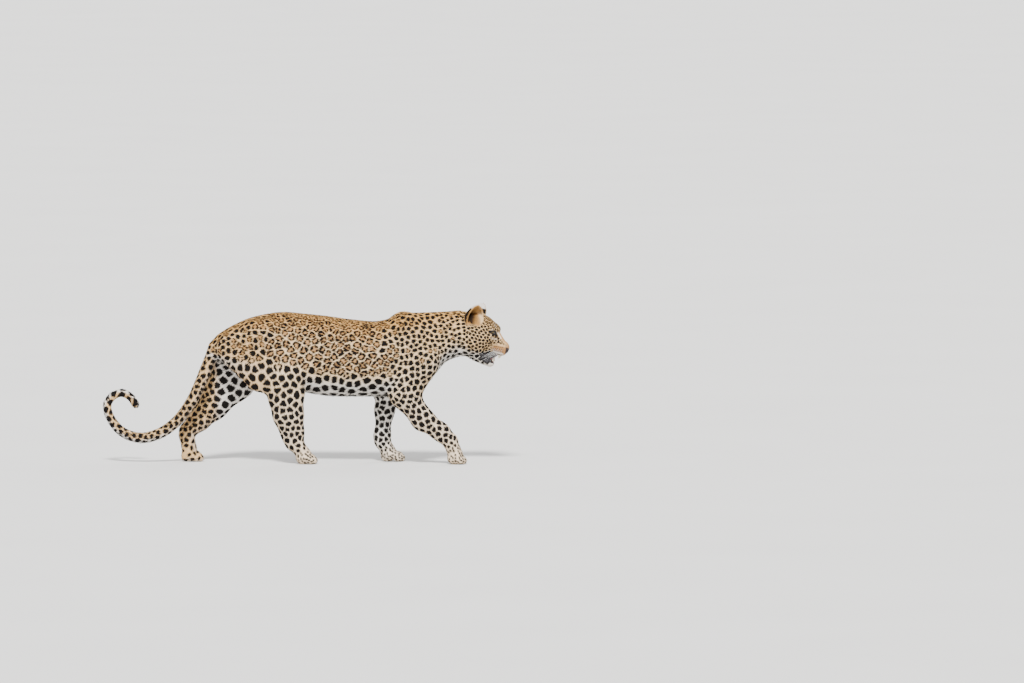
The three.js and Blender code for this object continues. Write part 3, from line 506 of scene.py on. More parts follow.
def head_field(d, plain, q):
    """The skin with its ears, sockets, nostrils, lips and open mouth, in the head's own frame."""
    m = mirrored(q)
    d = d - relief(m, FACE_RELIEF) * np.clip((20 - np.abs(plain)) / 10, 0, 1)
    d = blend(d, ear_field(q), 9)
    d = smooth_cut(d, ellipsoid(m, *EAR_CANAL), 8)
    ball = np.linalg.norm(m - EYE_AT, axis=-1)
    d = blend(d, ball - EYE_RADIUS - LID_THICK - 0.6, 9)
    opening, depth = lid_opening(m)
    hole = np.maximum(np.maximum(opening - LID_REACH, -depth), ball - EYE_RADIUS - 9)
    d = smooth_cut(d, hole, 2.5)
    d = smooth_cut(d, ball - EYE_RADIUS - 0.4, 1.0)
    d = smooth_cut(d, segment(q, (133, 0, -52), (121, 0, -69), 1.8, 1.8), 4)
    d = smooth_cut(d, segment(m, (131, 6.5, -41), (124, 15.5, -38), 4.4, 2.8), 2.5)
    d = smooth_cut(d, segment(m, (126, 15, -39), (117, 19, -42), 1.8, 1.3), 2.5)
    wedge = mouth_wedge(q)
    ahead = ramp(q[..., 0], MOUTH_CORNER[0] - 4, MOUTH_CORNER[0] + 8)
    d = d - LIP_RISE * np.exp(-((wedge - 1.5) / 2.6) ** 2) * ahead
    d = smooth_cut(d, np.maximum(wedge, MOUTH_CORNER[0] - q[..., 0]), 3)
    d = blend(d, mouth_web(q), 4)
    d = d - LIP_FOLD * fold_ridges(q) * ramp(2 - black_lip(q), 0, 5)
    return smooth_cut(d, mouth_cavity(q), 4)


def body_field(p):
    """Trunk with each limb and the tail grown on to it."""
    trunk = trunk_field(p)
    d = trunk
    for side in LIMBS:
        d = np.minimum(d, blend(trunk, limb_field(p, side), LIMB_BLEND))
    tail, _ = tail_place(p)
    return np.minimum(d, blend(trunk, tail, 30))


def relief(m, bumps):
    """Millimetres that a list of bumps raises the skin, at points with Y positive.

    Each is its height times e to the minus square of the distance from its place, in its reaches.
    """
    raised = np.zeros(m.shape[:-1])
    for centre, size, height in bumps:
        away = (m - np.array(centre, float)) / np.array(size, float)
        raised += height * np.exp(-np.sum(away * away, -1))
    return raised


# How far the skin lies inside the outline of the coat
COAT_DEPTH_BODY = 4.2
COAT_DEPTH_HEAD = 2.2
COAT_DEPTH_PAW = 2.0


def coat_depth(p, q, plain):
    """Depth of the coat: none on the nose, thin on head and paws, deeper on trunk and tail."""
    low = ramp(p[..., 2], 60, 200)
    depth = COAT_DEPTH_PAW + (COAT_DEPTH_BODY - COAT_DEPTH_PAW) * low
    depth = depth + (COAT_DEPTH_HEAD - depth) * ramp(25 - plain, 0, 50)
    return depth * ramp(122 - q[..., 0], -2, 14)


def skin_field(p):
    """Body and head blended, drawn in by the coat's depth, raised by muscle, flat on the floor."""
    q = to_head(p)
    plain = plain_head_field(q)
    d = blend(body_field(p), plain, 40) + coat_depth(p, q, plain) - relief(mirrored(p), BODY_RELIEF)
    if p[..., 0].max() > HEAD_STARTS:
        d = head_field(d, plain, q)
    return np.maximum(d, -p[..., 2])


def level_surface(low, high, cell):
    """Zero surface of the skin's field on an even grid, as points and triangles."""
    counts = np.ceil((high - low) / cell).astype(int) + 1
    axes = [low[k] + cell * np.arange(counts[k]) for k in range(3)]
    values = np.empty(counts, np.float32)
    for i in range(counts[0]):
        y, z = np.meshgrid(axes[1], axes[2], indexing="ij")
        p = np.stack([np.full_like(y, axes[0][i]), y, z], -1)
        values[i] = skin_field(p)
    values = np.clip(values, -4 * cell, 4 * cell)
    grid = openvdb.FloatGrid(background=float(4 * cell))
    grid.copyFromArray(values)
    points, triangles, quads = grid.convertToPolygons(isovalue=0.0, adaptivity=0.0)
    points = np.asarray(points, float) * cell + low
    faces = np.vstack([np.asarray(triangles).reshape(-1, 3), halved(np.asarray(quads))])
    return points, faces[:, ::-1]


NECK_SEAM_AT = Vector((690.0, 0.0, 545.0))
NECK_SEAM_WAY = Vector((0.968, -0.12, 0.22)).normalized()
NECK_SEAM_GAP = 2.5


def joined_at_neck(body, head):
    """Both surfaces cut along one plane and bridged, so that they make one skin."""
    parts = []
    for (points, faces), forward in ((body, False), (head, True)):
        bm = bmesh.new()
        mesh = bpy.data.meshes.new("half")
        mesh.from_pydata(points, [], faces)
        bm.from_mesh(mesh)
        bpy.data.meshes.remove(mesh)
        offset = NECK_SEAM_WAY * (NECK_SEAM_GAP / 2 * (1 if forward else -1))
        geometry = bm.verts[:] + bm.edges[:] + bm.faces[:]
        bmesh.ops.bisect_plane(bm, geom=geometry, dist=1e-4, plane_co=NECK_SEAM_AT + offset,
                               plane_no=NECK_SEAM_WAY, clear_outer=not forward, clear_inner=forward)
        half = bpy.data.meshes.new("half")
        bm.to_mesh(half)
        bm.free()
        parts.append(half)
    whole = bmesh.new()
    for half in parts:
        whole.from_mesh(half)
        bpy.data.meshes.remove(half)
    rims = [edge for edge in whole.edges if edge.is_boundary]
    bmesh.ops.bridge_loops(whole, edges=rims)
    bmesh.ops.triangulate(whole, faces=[f for f in whole.faces if len(f.verts) > 3])
    islands_keep_largest(whole)
    bmesh.ops.recalc_face_normals(whole, faces=whole.faces[:])
    mesh = bpy.data.meshes.new("leopard_skin")
    whole.to_mesh(mesh)
    whole.free()
    return mesh


def islands_keep_largest(bm):
    """Deletes every loose island but the one with the most points."""
    seen, best = set(), []
    for start in bm.verts:
        if start in seen:
            continue
        island, queue = [start], [start]
        seen.add(start)
        while queue:
            for edge in queue.pop().link_edges:
                for vert in edge.verts:
                    if vert not in seen:
                        seen.add(vert)
                        island.append(vert)
                        queue.append(vert)
        if len(island) > len(best):
            best = island
    keep = set(best)
    bmesh.ops.delete(bm, geom=[v for v in bm.verts if v not in keep], context="VERTS")


def mesh_arrays(mesh):
    """A triangle mesh's points, faces, and point normals, as arrays."""
    points = np.empty(len(mesh.vertices) * 3)
    mesh.vertices.foreach_get("co", points)
    mesh.calc_loop_triangles()
    faces = np.empty(len(mesh.loop_triangles) * 3, np.int32)
    mesh.loop_triangles.foreach_get("vertices", faces)
    normals = np.empty(len(mesh.vertices) * 3)
    mesh.vertices.foreach_get("normal", normals)
    return points.reshape(-1, 3), faces.reshape(-1, 3), normals.reshape(-1, 3)


NOISE_WAVES = 5
NOISE_HEIGHT = 3.2


def smooth_noise(p, size, seed):
    """Sum of sines of rotated coordinates, between about -1 and 1, waves about size apart."""
    rng = np.random.default_rng(seed)
    total = np.zeros(p.shape[:-1])
    for _ in range(NOISE_WAVES):
        way = rng.normal(size=3)
        way *= 2 * math.pi / size / np.linalg.norm(way) * rng.uniform(0.7, 1.6)
        total += np.sin(p @ way + rng.uniform(0, 2 * math.pi))
    return total / NOISE_HEIGHT


def tones_of(settings):
    """The coat's four tones from the settings, as arrays."""
    return {name: np.array(getattr(settings, name)) for name in ("gold", "tawny", "cream", "white")}


def ramp(x, low, high):
    """Smooth step from 0 at low to 1 at high."""
    t = np.clip((x - low) / (high - low), 0, 1)
    return t * t * (3 - 2 * t)


def mix(a, b, t):
    """Colours a and b mixed by t."""
    return a + (b - a) * t[..., None]


def regions(p):
    """Fields of the body's regions at points: trunk, the four limbs, tail and head."""
    tail, tail_share = tail_place(p)
    limbs = {side: limb_field(p, side) for side in LIMBS}
    q = to_head(p)
    x = p[..., 0]
    back, belly = along(x, 1), along(x, 2)
    height = np.clip((p[..., 2] - (back + belly) / 2) / ((back - belly) / 2), -1.4, 1.4)
    return {"trunk": trunk_field(p), "limbs": limbs, "tail": tail, "tail_share": tail_share,
            "head": plain_head_field(q), "q": q, "height": height}


def limb_share(p, place):
    """How far each point belongs to a limb rather than the trunk, and to which limb."""
    names = list(LIMBS)
    stack = np.stack([place["limbs"][side] for side in names], -1)
    own = np.argmin(stack, -1)
    near = stack.min(-1)
    share = ramp(place["trunk"] - near, -20, 30) * ramp(470 - p[..., 2], -60, 120)
    share = np.maximum(share, ramp(300 - p[..., 2], 0, 40) * ramp(place["trunk"] - near, -25, 5))
    return own, share


def limb_axis(p, side):
    """Direction down the limb at each point, and the share of the way down it."""
    chain = LIMBS[side][0][1]
    joints = np.array([joint[:3] for joint in chain] + [PAWS[side][1], PAWS[side][2]], float)
    lengths = np.linalg.norm(np.diff(joints, axis=0), axis=1)
    run = np.concatenate([[0], np.cumsum(lengths)])
    best = np.full(p.shape[0], 1e9)
    way = np.zeros(p.shape)
    place = np.zeros(p.shape[0])
    middle = np.zeros(p.shape)
    for i in range(len(joints) - 1):
        d = joints[i + 1] - joints[i]
        t = np.clip(((p - joints[i]) @ d) / (d @ d), 0, 1)
        on = joints[i] + t[:, None] * d
        gap = np.linalg.norm(p - on, axis=1)
        closer = gap < best
        best = np.where(closer, gap, best)
        way[closer] = d / lengths[i]
        middle[closer] = on[closer]
        place[closer] = (run[i] + t[closer] * lengths[i]) / run[-1]
    return way, place, middle


NOSE_TIP = np.array([132.0, 0.0, -30.0])


def lie_of_coat(p, normals, place):
    """Way that hairs lie: back from the nose, back along the trunk, down the limbs."""
    way = np.tile([-1.0, 0.0, -0.22], (len(p), 1))
    own, share = limb_share(p, place)
    for k, side in enumerate(LIMBS):
        axis, _, _ = limb_axis(p, side)
        mine = (own == k)[:, None]
        leg = axis + np.array([-0.35, 0, 0])
        way = np.where(mine, way * (1 - share[:, None]) + leg * share[:, None], way)
    tail = on_tail(p, place)[:, None]
    way = way * (1 - tail) + TAIL_WAYS[tail_step(place)] * tail
    from_nose = place["q"] - NOSE_TIP
    from_nose[:, 2] *= 1.1
    from_nose /= np.linalg.norm(from_nose, axis=1)[:, None] + 1e-9
    head_way = from_nose @ HEAD_AXES.T
    on_head = (ramp(p[:, 0], 640, 700) * ramp(25 - place["head"], -10, 20))[:, None]
    way = way * (1 - on_head) + head_way * on_head
    way = way - np.sum(way * normals, 1)[:, None] * normals
    return way / (np.linalg.norm(way, axis=1)[:, None] + 1e-9)


def tail_step(place):
    """Number of each point's nearest step of the tail."""
    return np.clip((place["tail_share"] * (TAIL_STEPS - 1)).astype(int), 0, TAIL_STEPS - 1)


def on_tail(p, place):
    """How far points belong to the tail."""
    return ramp(place["trunk"] - place["tail"], 0, 30) * ramp(-p[:, 0], 350, 400)


def marking_size(p, place):
    """Spacing of the markings in millimetres, how solid they are, and how much they fill."""
    height = place["height"]
    spacing = 38 - 10 * ramp(height, 0.35, 0.95) + 7 * ramp(-height, 0.3, 0.9)
    solid = ramp(-height, 0.30, 0.52)
    fill = np.full(len(p), 0.45)
    fore = ramp(p[:, 0], 300, 410)
    spacing = spacing * (1 - fore) + 26.5 * fore
    solid = np.maximum(solid, 0.93 * fore)
    fill = fill * (1 - fore) + 0.44 * fore
    neck = ramp(p[:, 0], 530, 610)
    spacing = spacing * (1 - neck) + (20.5 + 8 * ramp(-height, 0.2, 0.8)) * neck
    rump = ramp(-p[:, 0], 70, 240)
    spacing = spacing * (1 - rump) + 28.5 * rump
    solid = np.maximum(solid, 0.55 * rump)
    own, share = limb_share(p, place)
    for k, side in enumerate(LIMBS):
        _, down, _ = limb_axis(p, side)
        top = 42 if side.startswith("hind") else 31
        leg = top - (top - 30) * ramp(down, 0.45, 0.7) - 15 * ramp(down, 0.8, 0.92)
        mine = (own == k) * share
        spacing = spacing * (1 - mine) + leg * mine
        solid = np.maximum(solid, mine)
        fill = fill * (1 - mine) + (0.50 - 0.19 * ramp(down, 0.78, 0.92)) * mine
    tail = on_tail(p, place)
    spacing = spacing * (1 - tail) + (28 + 9 * ramp(place["tail_share"], 0.5, 0.9)) * tail
    solid = np.maximum(solid, tail)
    head = ramp(p[:, 0], 655, 705) * ramp(20 - place["head"], -10, 15)
    q = place["q"]
    small = (17.5 - 6 * ramp(q[:, 2], 20, 60) - 3 * ramp(q[:, 0], 20, 70)
             + 9 * ramp(-q[:, 2], 50, 80))
    spacing = spacing * (1 - head) + small * head
    solid = np.maximum(solid, head)
    fill = fill * (1 - head) + (0.52 - 0.1 * ramp(q[:, 2], 25, 60)) * head
    return spacing, solid, fill


# The markings: points tried as seeds, how near two may stand in spacings, the most gaps in a
# ring, how far the black spreads, and the block and reach of the search for the nearest
MARKING_TRIES = 60000
MARKING_APART = 0.7
MOST_GAPS = 4
MARKING_SWELL = 0.7
SEARCH_BLOCK = 4000
SEARCH_REACH = 80


def scatter_markings(points, normals, seed):
    """Seeds of the markings: points of the skin kept apart, then moved to their cells' middles.

    Each has its own shape: the ring's thickness, the gaps that break it, and for a solid spot
    its stretch and turn.
    """
    rng = np.random.default_rng(seed)
    order = rng.permutation(len(points))[:MARKING_TRIES]
    p, n = points[order], normals[order]
    spacing, solid, fill = marking_size(p, regions(p))
    kept = []
    taken = np.empty((len(p), 3))
    count = 0
    for i in range(len(p)):
        apart = taken[:count]
        near = np.abs(apart[:, 0] - p[i, 0]) < spacing[i]
        least = (MARKING_APART * spacing[i]) ** 2
        if near.any() and np.min(np.sum((apart[near] - p[i]) ** 2, 1)) < least:
            continue
        kept.append(i)
        taken[count] = p[i]
        count += 1
    kept = np.array(kept)
    kept = kept[np.argsort(p[kept, 0])]
    own, _ = nearest_markings(p, n, {"p": p[kept], "n": n[kept], "spacing": spacing[kept]})
    held = np.bincount(own, minlength=count)[:, None] + 1e-9
    middle = np.stack([np.bincount(own, p[:, k], count) for k in range(3)], 1) / held
    first = np.lexsort((np.sum((p - middle[own]) ** 2, 1), own))
    lead = np.searchsorted(own[first], np.arange(count)).clip(0, len(first) - 1)
    kept = np.where(own[first][lead] == np.arange(count), first[lead], kept)
    kept = kept[np.argsort(p[kept, 0])]
    lie = lie_of_coat(p[kept], n[kept], regions(p[kept]))
    gaps = rng.integers(2, MOST_GAPS + 1, count)
    turn = np.arange(MOST_GAPS)[None] * 2 * math.pi / gaps[:, None]
    turn = (turn + rng.uniform(0, 2 * math.pi, count)[:, None]
            + rng.uniform(-0.4, 0.4, (count, MOST_GAPS)))
    width = np.where(np.arange(MOST_GAPS)[None] < gaps[:, None],
                     rng.uniform(1.0, 3.0, (count, MOST_GAPS)), -99.0)
    return {"p": p[kept], "n": n[kept], "lie": lie, "across": np.cross(n[kept], lie),
            "spacing": spacing[kept], "solid": rng.random(count) < solid[kept],
            "fill": fill[kept] * rng.uniform(0.88, 1.12, count),
            "gap_turn": turn, "gap_width": width, "ring": rng.uniform(0.22, 0.30, count),
            "stretch": rng.uniform(1.0, 1.8, count), "lean": rng.normal(0, 0.6, count)}


def pick(value, rows):
    """Rows of an array, or of each array in a dictionary."""
    if isinstance(value, dict):
        return {key: item[rows] for key, item in value.items()}
    return value[rows]


def nearest_markings(p, n, seeds):
    """Each point's nearest marking, and its distance in millimetres to that marking's border.

    The border with the second nearest lies where both are equally far in spacings, and markings
    that face another way count as farther.
    """
    own = np.zeros(len(p), np.int64)
    border = np.zeros(len(p))
    order = np.argsort(p[:, 0])
    where, facing = seeds["p"].astype(np.float32), seeds["n"].astype(np.float32)
    scale = seeds["spacing"].astype(np.float32)
    for i in range(0, len(p), SEARCH_BLOCK):
        rows = order[i:i + SEARCH_BLOCK]
        block, way = p[rows].astype(np.float32), n[rows].astype(np.float32)
        low = np.searchsorted(where[:, 0], block[0, 0] - SEARCH_REACH)
        high = np.searchsorted(where[:, 0], block[-1, 0] + SEARCH_REACH)
        s, sn, size = where[low:high], facing[low:high], scale[low:high]
        gap = np.sum(block * block, 1)[:, None] + np.sum(s * s, 1)[None] - 2 * block @ s.T
        cost = np.maximum(gap, 0) / (size * size)[None] * (1 + 1.2 * (1 - way @ sn.T))
        line = np.arange(len(rows))
        first = np.argmin(cost, 1)
        best = cost[line, first].copy()
        cost[line, first] = 1e9
        second = np.argmin(cost, 1)
        next_best = cost[line, second]
        apart = np.linalg.norm(s[first] - s[second], axis=1)
        mean = (size[first] + size[second]) / 2
        own[rows] = low + first
        border[rows] = (next_best - best) * mean * mean / (2 * np.maximum(apart, 1))
    return own, border


BLACK = np.array([0.0075, 0.0058, 0.0052])
LEATHER = np.array([0.030, 0.019, 0.018])
LOWER_LIP = ((58, -97), (94, -101))
GUM = np.array([0.010, 0.009, 0.010])
LID_EDGE = np.array([0.035, 0.025, 0.018])
# Painted shade deep inside the ear's cup
EAR_DEEP_SHADE = np.array([0.035, 0.02, 0.012])
EYE_WHITE = np.array([0.14, 0.08, 0.05])
# Painted highlight: the lighter tone laid on the crests of the black lip's folds
LIP_CREST_HIGHLIGHT = np.array([0.055, 0.05, 0.054])
FLESH_TONE = np.array([0.20, 0.07, 0.07])


def ground_colour(p, n, place, tones):
    """Colour of the coat between its markings: gold above, cream on the flank, white below."""
    height = place["height"]
    gold = np.maximum(ramp(height, 0.2, 0.9),
                      0.55 * ramp(p[:, 0], 380, 560) * ramp(height, -0.4, 0.5))
    rump = 0.5 * ramp(-p[:, 0], 60, 250)
    colour = mix(tones["cream"], tones["gold"], np.maximum(gold, rump))
    down = ramp(-n[:, 2], 0.25, 0.8)
    white = np.maximum(ramp(-height, 0.4, 0.75), down * ramp(-height, 0.1, 0.6))
    own, share = limb_share(p, place)
    for k, side in enumerate(LIMBS):
        inward = n[:, 1] * (-1 if side.endswith("Left") else 1)
        _, down_limb, _ = limb_axis(p, side)
        inner = ramp(inward, -0.2, 0.4) * (1 - 0.5 * ramp(down_limb, 0.75, 0.95))
        pale = 0.1 + 0.25 * ramp(down_limb, 0.3, 0.6)
        mine = (own == k) * share
        white = white * (1 - mine) + np.maximum(inner, pale) * mine
    tail = on_tail(p, place)
    under = tail_underside(n, place) * (0.3 + 0.7 * ramp(place["tail_share"], 0.35, 0.6))
    white = white * (1 - tail) + under * tail
    throat = ramp(p[:, 0], 540, 620) * ramp(-height, 0.25, 0.8) * ramp(p[:, 2], 300, 380)
    white = np.maximum(white, throat)
    return mix(colour, tones["white"], np.clip(white, 0, 1))


def tail_underside(n, place):
    """How far a point of the tail lies on its underside, the outer side of its curl."""
    way = TAIL_WAYS[tail_step(place)]
    outer = np.stack([way[:, 2], np.zeros(len(n)), -way[:, 0]], 1)
    outer /= np.linalg.norm(outer, axis=1)[:, None] + 1e-9
    return ramp(-np.sum(n * outer, 1), 0.0, 0.6)


def head_colour(colour, dark, q, place, p, tones):
    """Face: plain bridge, pale cheeks and chin, a painted highlight along the bridge's edge before
    the eye, whisker rows, dark rims, tear lines and lips.
    """
    m = mirrored(q)
    on = ramp(p[:, 0], 650, 700) * ramp(30 - place["head"], -40, 5)
    beside = ramp(m[:, 1], 9, 15)
    face = mix(tones["cream"] * [1.0, 0.97, 0.92], tones["gold"],
               0.2 + ramp(m[:, 2], 20, 80) * 0.5)
    bridge = ramp(24 - m[:, 1], 2, 14) * ramp(q[:, 0], 52, 70) * ramp(q[:, 2], -38, -18)
    bridge = bridge * ramp(34 - q[:, 2], 0, 12)
    face = mix(face, tones["gold"] * [0.62, 0.58, 0.66], bridge * 0.85)
    muzzle = ramp(q[:, 0], 58, 80) * ramp(-q[:, 2], 14, 30) * ramp(q[:, 2], -66, -54)
    face = mix(face, tones["gold"] * [0.50, 0.43, 0.48], muzzle * 0.9)
    pale = ramp(-q[:, 2], 50, 84) * (1 - 0.6 * ramp(q[:, 0], 60, 75) * ramp(q[:, 2], -80, -66))
    face = mix(face, tones["white"], pale * 0.9)
    under_eye = 0.5 * np.exp(-(by_side(q, (62, 4), (80, 0)) / 3.6) ** 2)
    over_eye = np.exp(-(by_side(q, (56, 36), (68, 34)) / 3.5) ** 2)
    # Painted highlight: a pale line along the bridge's edge in front of the eye
    bridge_edge_highlight = 0.8 * np.exp(-(by_side(q, (73, 30), (94, 8)) / 2.8) ** 2)
    light = np.clip(under_eye + over_eye + bridge_edge_highlight, 0, 1) * beside
    streak = np.exp(-(by_side(q, (76, -53), (116, -55)) / 3.2) ** 2) * beside
    edge = 0.8 * np.exp(-(by_side(q, (104, -66), (124, -62)) / 2.4) ** 2)
    face = mix(face, tones["white"], np.clip(light * 0.9 + streak + edge, 0, 1))
    colour = mix(colour, face, on)
    plain = np.maximum(np.maximum(bridge, muzzle), ramp(q[:, 0], 76, 90) * ramp(-q[:, 2], 10, 30))
    plain = np.maximum(plain, ramp(q[:, 0], 40, 52) * ramp(-q[:, 2], 70, 80))
    dark = dark * (1 - np.clip(plain * 1.4 + light, 0, 1) * on)
    rows = np.zeros(len(q))
    for k in range(WHISKER_ROWS):
        line = (q[:, 2] - whisker_row(k, q[:, 0])) / 2.5
        dots = 0.75 + 0.25 * np.cos(q[:, 0] * 2 * math.pi / 8.5 + 2 * k)
        rows = np.maximum(rows, np.exp(-line * line) * dots)
    rows = rows * ramp(q[:, 0], 60, 74) * ramp(119 - q[:, 0], 0, 8)
    under_streak = np.exp(-(by_side(q, (80, -60), (112, -61.5)) / 3.0) ** 2) * beside
    opening, _ = lid_opening(m)
    away = np.linalg.norm(m - EYE_AT, axis=1)
    near_eye = ramp(EYE_RADIUS + 10 - away, 0, 4)
    rim = ramp(9 - opening, 0, 3) * near_eye
    tear = ramp(5.0 - by_side(q, (74, 15), (92, -10)), 0, 3) * beside
    outer = ramp(3.6 - by_side(q, (44, 21), (56, 22)), 0, 2.6) * ramp(m[:, 1], 30, 36)
    brow = ramp(2.6 - by_side(q, (58, 51), (69, 41)), 0, 2.2) * beside
    wedge = mouth_wedge(q)
    ahead = ramp(q[:, 0], MOUTH_CORNER[0] - 9, MOUTH_CORNER[0] - 1)
    lips = ramp(3.6 - wedge, 0, 1.6) * ahead * ramp(128 - q[:, 0], 0, 10)
    patch = np.maximum(ramp(4.5 - black_lip(q), 0, 2.4), ramp(7.5 - by_side(q, *LOWER_LIP), 0, 2))
    marks = np.maximum.reduce([0.9 * rows, rim, 0.85 * tear, 0.8 * outer, 0.7 * brow, lips, patch,
                               under_streak])
    return colour, np.clip(np.maximum(dark, marks * on), 0, 1)


def whisker_row(k, x):
    """Height in the head's frame of the whisker pad's row k at X."""
    return -28 - 9.0 * k + (0.06 + 0.02 * k) * (x - 100)


def ear_colour(colour, dark, q, n_head, tones):
    """Ears: black behind with a white tip, tan cup darkened deep inside by painted shade, cream
    hair in front.
    """
    m = mirrored(q)
    local = ear_axes(m)
    plain = plain_head_field(q)
    shell = ramp(5 - ear_field(q), 0, 4) * ramp(plain, 2, 8)
    within = ramp(3 - ellipsoid(local, (0, 0, 0), EAR_SIZE), 0, 4) * ramp(m[:, 2], 36, 46)
    on = np.maximum(shell, within)
    n = n_head * np.stack([np.ones(len(q)), np.where(q[:, 1] < 0, -1.0, 1.0), np.ones(len(q))], 1)
    behind = ramp(-(n @ EAR_WAY), -0.3, 0.05) * shell
    rear = mix(BLACK * 1.3, tones["white"] * 0.95, ramp(m[:, 2], 106, 112))
    rear = mix(rear, tones["cream"], ramp(46 - m[:, 2], 0, 12))
    # Painted shade: the cup is darkened towards its deep lower inside, where shade falls
    deep_shade = ramp(local[:, 1], -22, 6) * ramp(38 - local[:, 2], 0, 26) * ramp(10 - local[:, 0], 0, 12)
    cup = mix(tones["gold"] * [0.66, 0.62, 0.60], EAR_DEEP_SHADE, deep_shade)
    front = ramp(-local[:, 1], 14, 30) * ramp(30 - local[:, 2], 0, 30)
    cup = mix(cup, tones["cream"], front * 0.8)
    ear = mix(cup, rear, behind)
    return mix(colour, ear, on), dark * (1 - on)


def markings(p, n, seeds, tones):
    """Colour of skin or coat at points: ground, tawny middles, broken rings and solid spots.

    A marking fills its share of the skin but for a pale line at its border, with its corners
    rounded. A rosette is dark for a ring's thickness inward of that line, apart from its gaps,
    and a solid spot is dark within its own stretched radius.
    """
    place = regions(p)
    colour = ground_colour(p, n, place, tones)
    i, border = nearest_markings(p, n, seeds)
    away = p - seeds["p"][i]
    scale = seeds["spacing"][i]
    u = np.sum(away * seeds["lie"][i], 1)
    v = np.sum(away * seeds["across"][i], 1)
    radius = np.hypot(u, v)
    wobble = ((smooth_noise(p, 14.0, 5) + 0.6 * smooth_noise(p, 6.5, 6))
              * np.clip(scale / 30, 0.3, 1.2))
    edge = blend(border - 0.05 * scale, 0.62 * scale - radius, 0.3 * scale) + 1.1 * wobble
    thick = seeds["ring"][i] * scale * (1 + 0.35 * smooth_noise(p, 24.0, 7))
    turn = np.arctan2(v, u)
    gap = np.full(len(p), 99.0)
    for k in range(MOST_GAPS):
        swing = np.abs((turn - seeds["gap_turn"][i, k] + math.pi) % (2 * math.pi) - math.pi)
        gap = np.minimum(gap, swing * radius - seeds["gap_width"][i, k])
    ring = np.minimum(np.minimum(edge, thick - edge), gap)
    c, s = np.cos(seeds["lean"][i]), np.sin(seeds["lean"][i])
    stretch = np.sqrt(seeds["stretch"][i])
    oval = np.hypot((u * c + v * s) / stretch, (v * c - u * s) * stretch)
    spot = np.minimum(edge - 0.05 * scale, seeds["fill"][i] * scale - oval + 1.4 * wobble)
    solid = seeds["solid"][i]
    dark = ramp(np.where(solid, spot, ring) + MARKING_SWELL, -0.9, 0.9)
    middle = ramp(edge, 0.0, 3.0) * np.where(solid, 0.2, 0.8)
    above = ramp(place["height"], -0.6, -0.2)
    colour = mix(colour, tones["tawny"], middle * above)
    q = place["q"]
    near = p[:, 0] > HEAD_STARTS
    if near.any():
        spots = {key: pick(value, near) for key, value in place.items()}
        c, d = head_colour(colour[near], dark[near], q[near], spots, p[near], tones)
        colour[near], dark[near] = ear_colour(c, d, q[near], n[near] @ HEAD_AXES, tones)
    tint = 1 + 0.06 * smooth_noise(p, 60.0, 8)[:, None] + 0.04 * smooth_noise(p, 17.0, 9)[:, None]
    return mix(colour * tint, BLACK, dark)


def bare_skin(q):
    """Shares of nose leather and of bare lip and mouth at head points."""
    m = mirrored(q)
    nose = ramp(q[:, 0], 109, 113) * ramp(23 + 0.9 * np.minimum(q[:, 2] + 47, 0) - m[:, 1], 0, 2.5)
    nose = nose * ramp(q[:, 2], -57, -54) * ramp(-22 - 0.5 * (q[:, 0] - 122) - q[:, 2], -3, 3)
    mouth = ramp(1.6 - mouth_wedge(q), 0, 1.2) * ramp(q[:, 0], MOUTH_CORNER[0] - 5, MOUTH_CORNER[0])
    mouth = np.maximum(mouth, ramp(2.0 - mouth_cavity(q), 0, 1.5))
    mouth = np.maximum(mouth, ramp(1.0 - black_lip(q), 0, 2.4))
    lower = ramp(7 - by_side(q, *LOWER_LIP), 0, 2)
    return nose, np.maximum(mouth, lower)


def attribute(mesh, name, kind, values):
    """Adds a point attribute to a mesh from an array."""
    layer = mesh.attributes.new(name, kind, "POINT")
    if kind == "FLOAT_COLOR":
        values = np.column_stack([values, np.ones(len(values))])
        layer.data.foreach_set("color", values.astype(np.float32).ravel())
    else:
        layer.data.foreach_set("value", values.astype(np.float32).ravel())


def new_piece(name, mesh, replaced=()):
    """Puts a finished mesh into the scene as a piece of the animal."""
    mesh.name = name
    piece = bpy.data.objects.new(name, mesh)
    bpy.context.scene.collection.objects.link(piece)
    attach(piece, BODY)
    if replaced:
        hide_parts(*replaced)
    return piece


def to_frame(points):
    """Body millimetres to the frame's metres."""
    return (points + SHIFT) * MM


def mesh_from(points, faces):
    """Mesh in the frame's metres from body millimetres and equal-sided faces."""
    mesh = bpy.data.meshes.new("piece")
    sides = faces.shape[1]
    mesh.vertices.add(len(points))
    mesh.vertices.foreach_set("co", to_frame(points).astype(np.float32).ravel())
    mesh.loops.add(faces.size)
    mesh.loops.foreach_set("vertex_index", faces.astype(np.int32).ravel())
    mesh.polygons.add(len(faces))
    mesh.polygons.foreach_set("loop_start", np.arange(0, faces.size, sides, dtype=np.int32))
    mesh.polygons.foreach_set("use_smooth", np.ones(len(faces), bool))
    mesh.update(calc_edges=True)
    return mesh


def principled(name, roughness, specular=0.5, coat=0.0):
    """A material and its shader node, with the constant values set on the shader's sockets."""
    material = bpy.data.materials.new(name)
    material.use_nodes = True
    shader = material.node_tree.nodes["Principled BSDF"]
    shader.inputs["Roughness"].default_value = roughness
    shader.inputs["Specular IOR Level"].default_value = specular
    shader.inputs["Coat Weight"].default_value = coat
    return material, material.node_tree, shader


def coloured_by_marking(tree, shader):
    """Links the markings' colour attribute to a shader's base colour."""
    node = tree.nodes.new("ShaderNodeAttribute")
    node.attribute_name = "marking"
    tree.links.new(node.outputs["Color"], shader.inputs["Base Color"])


def texture_value(tree, kind, scale):
    """Output of a noise or cell texture on Object coordinates."""
    place = tree.nodes.new("ShaderNodeTexCoord")
    texture = tree.nodes.new(kind)
    texture.inputs["Scale"].default_value = scale
    tree.links.new(place.outputs["Object"], texture.inputs["Vector"])
    return texture.outputs["Distance" if kind == "ShaderNodeTexVoronoi" else "Fac"]


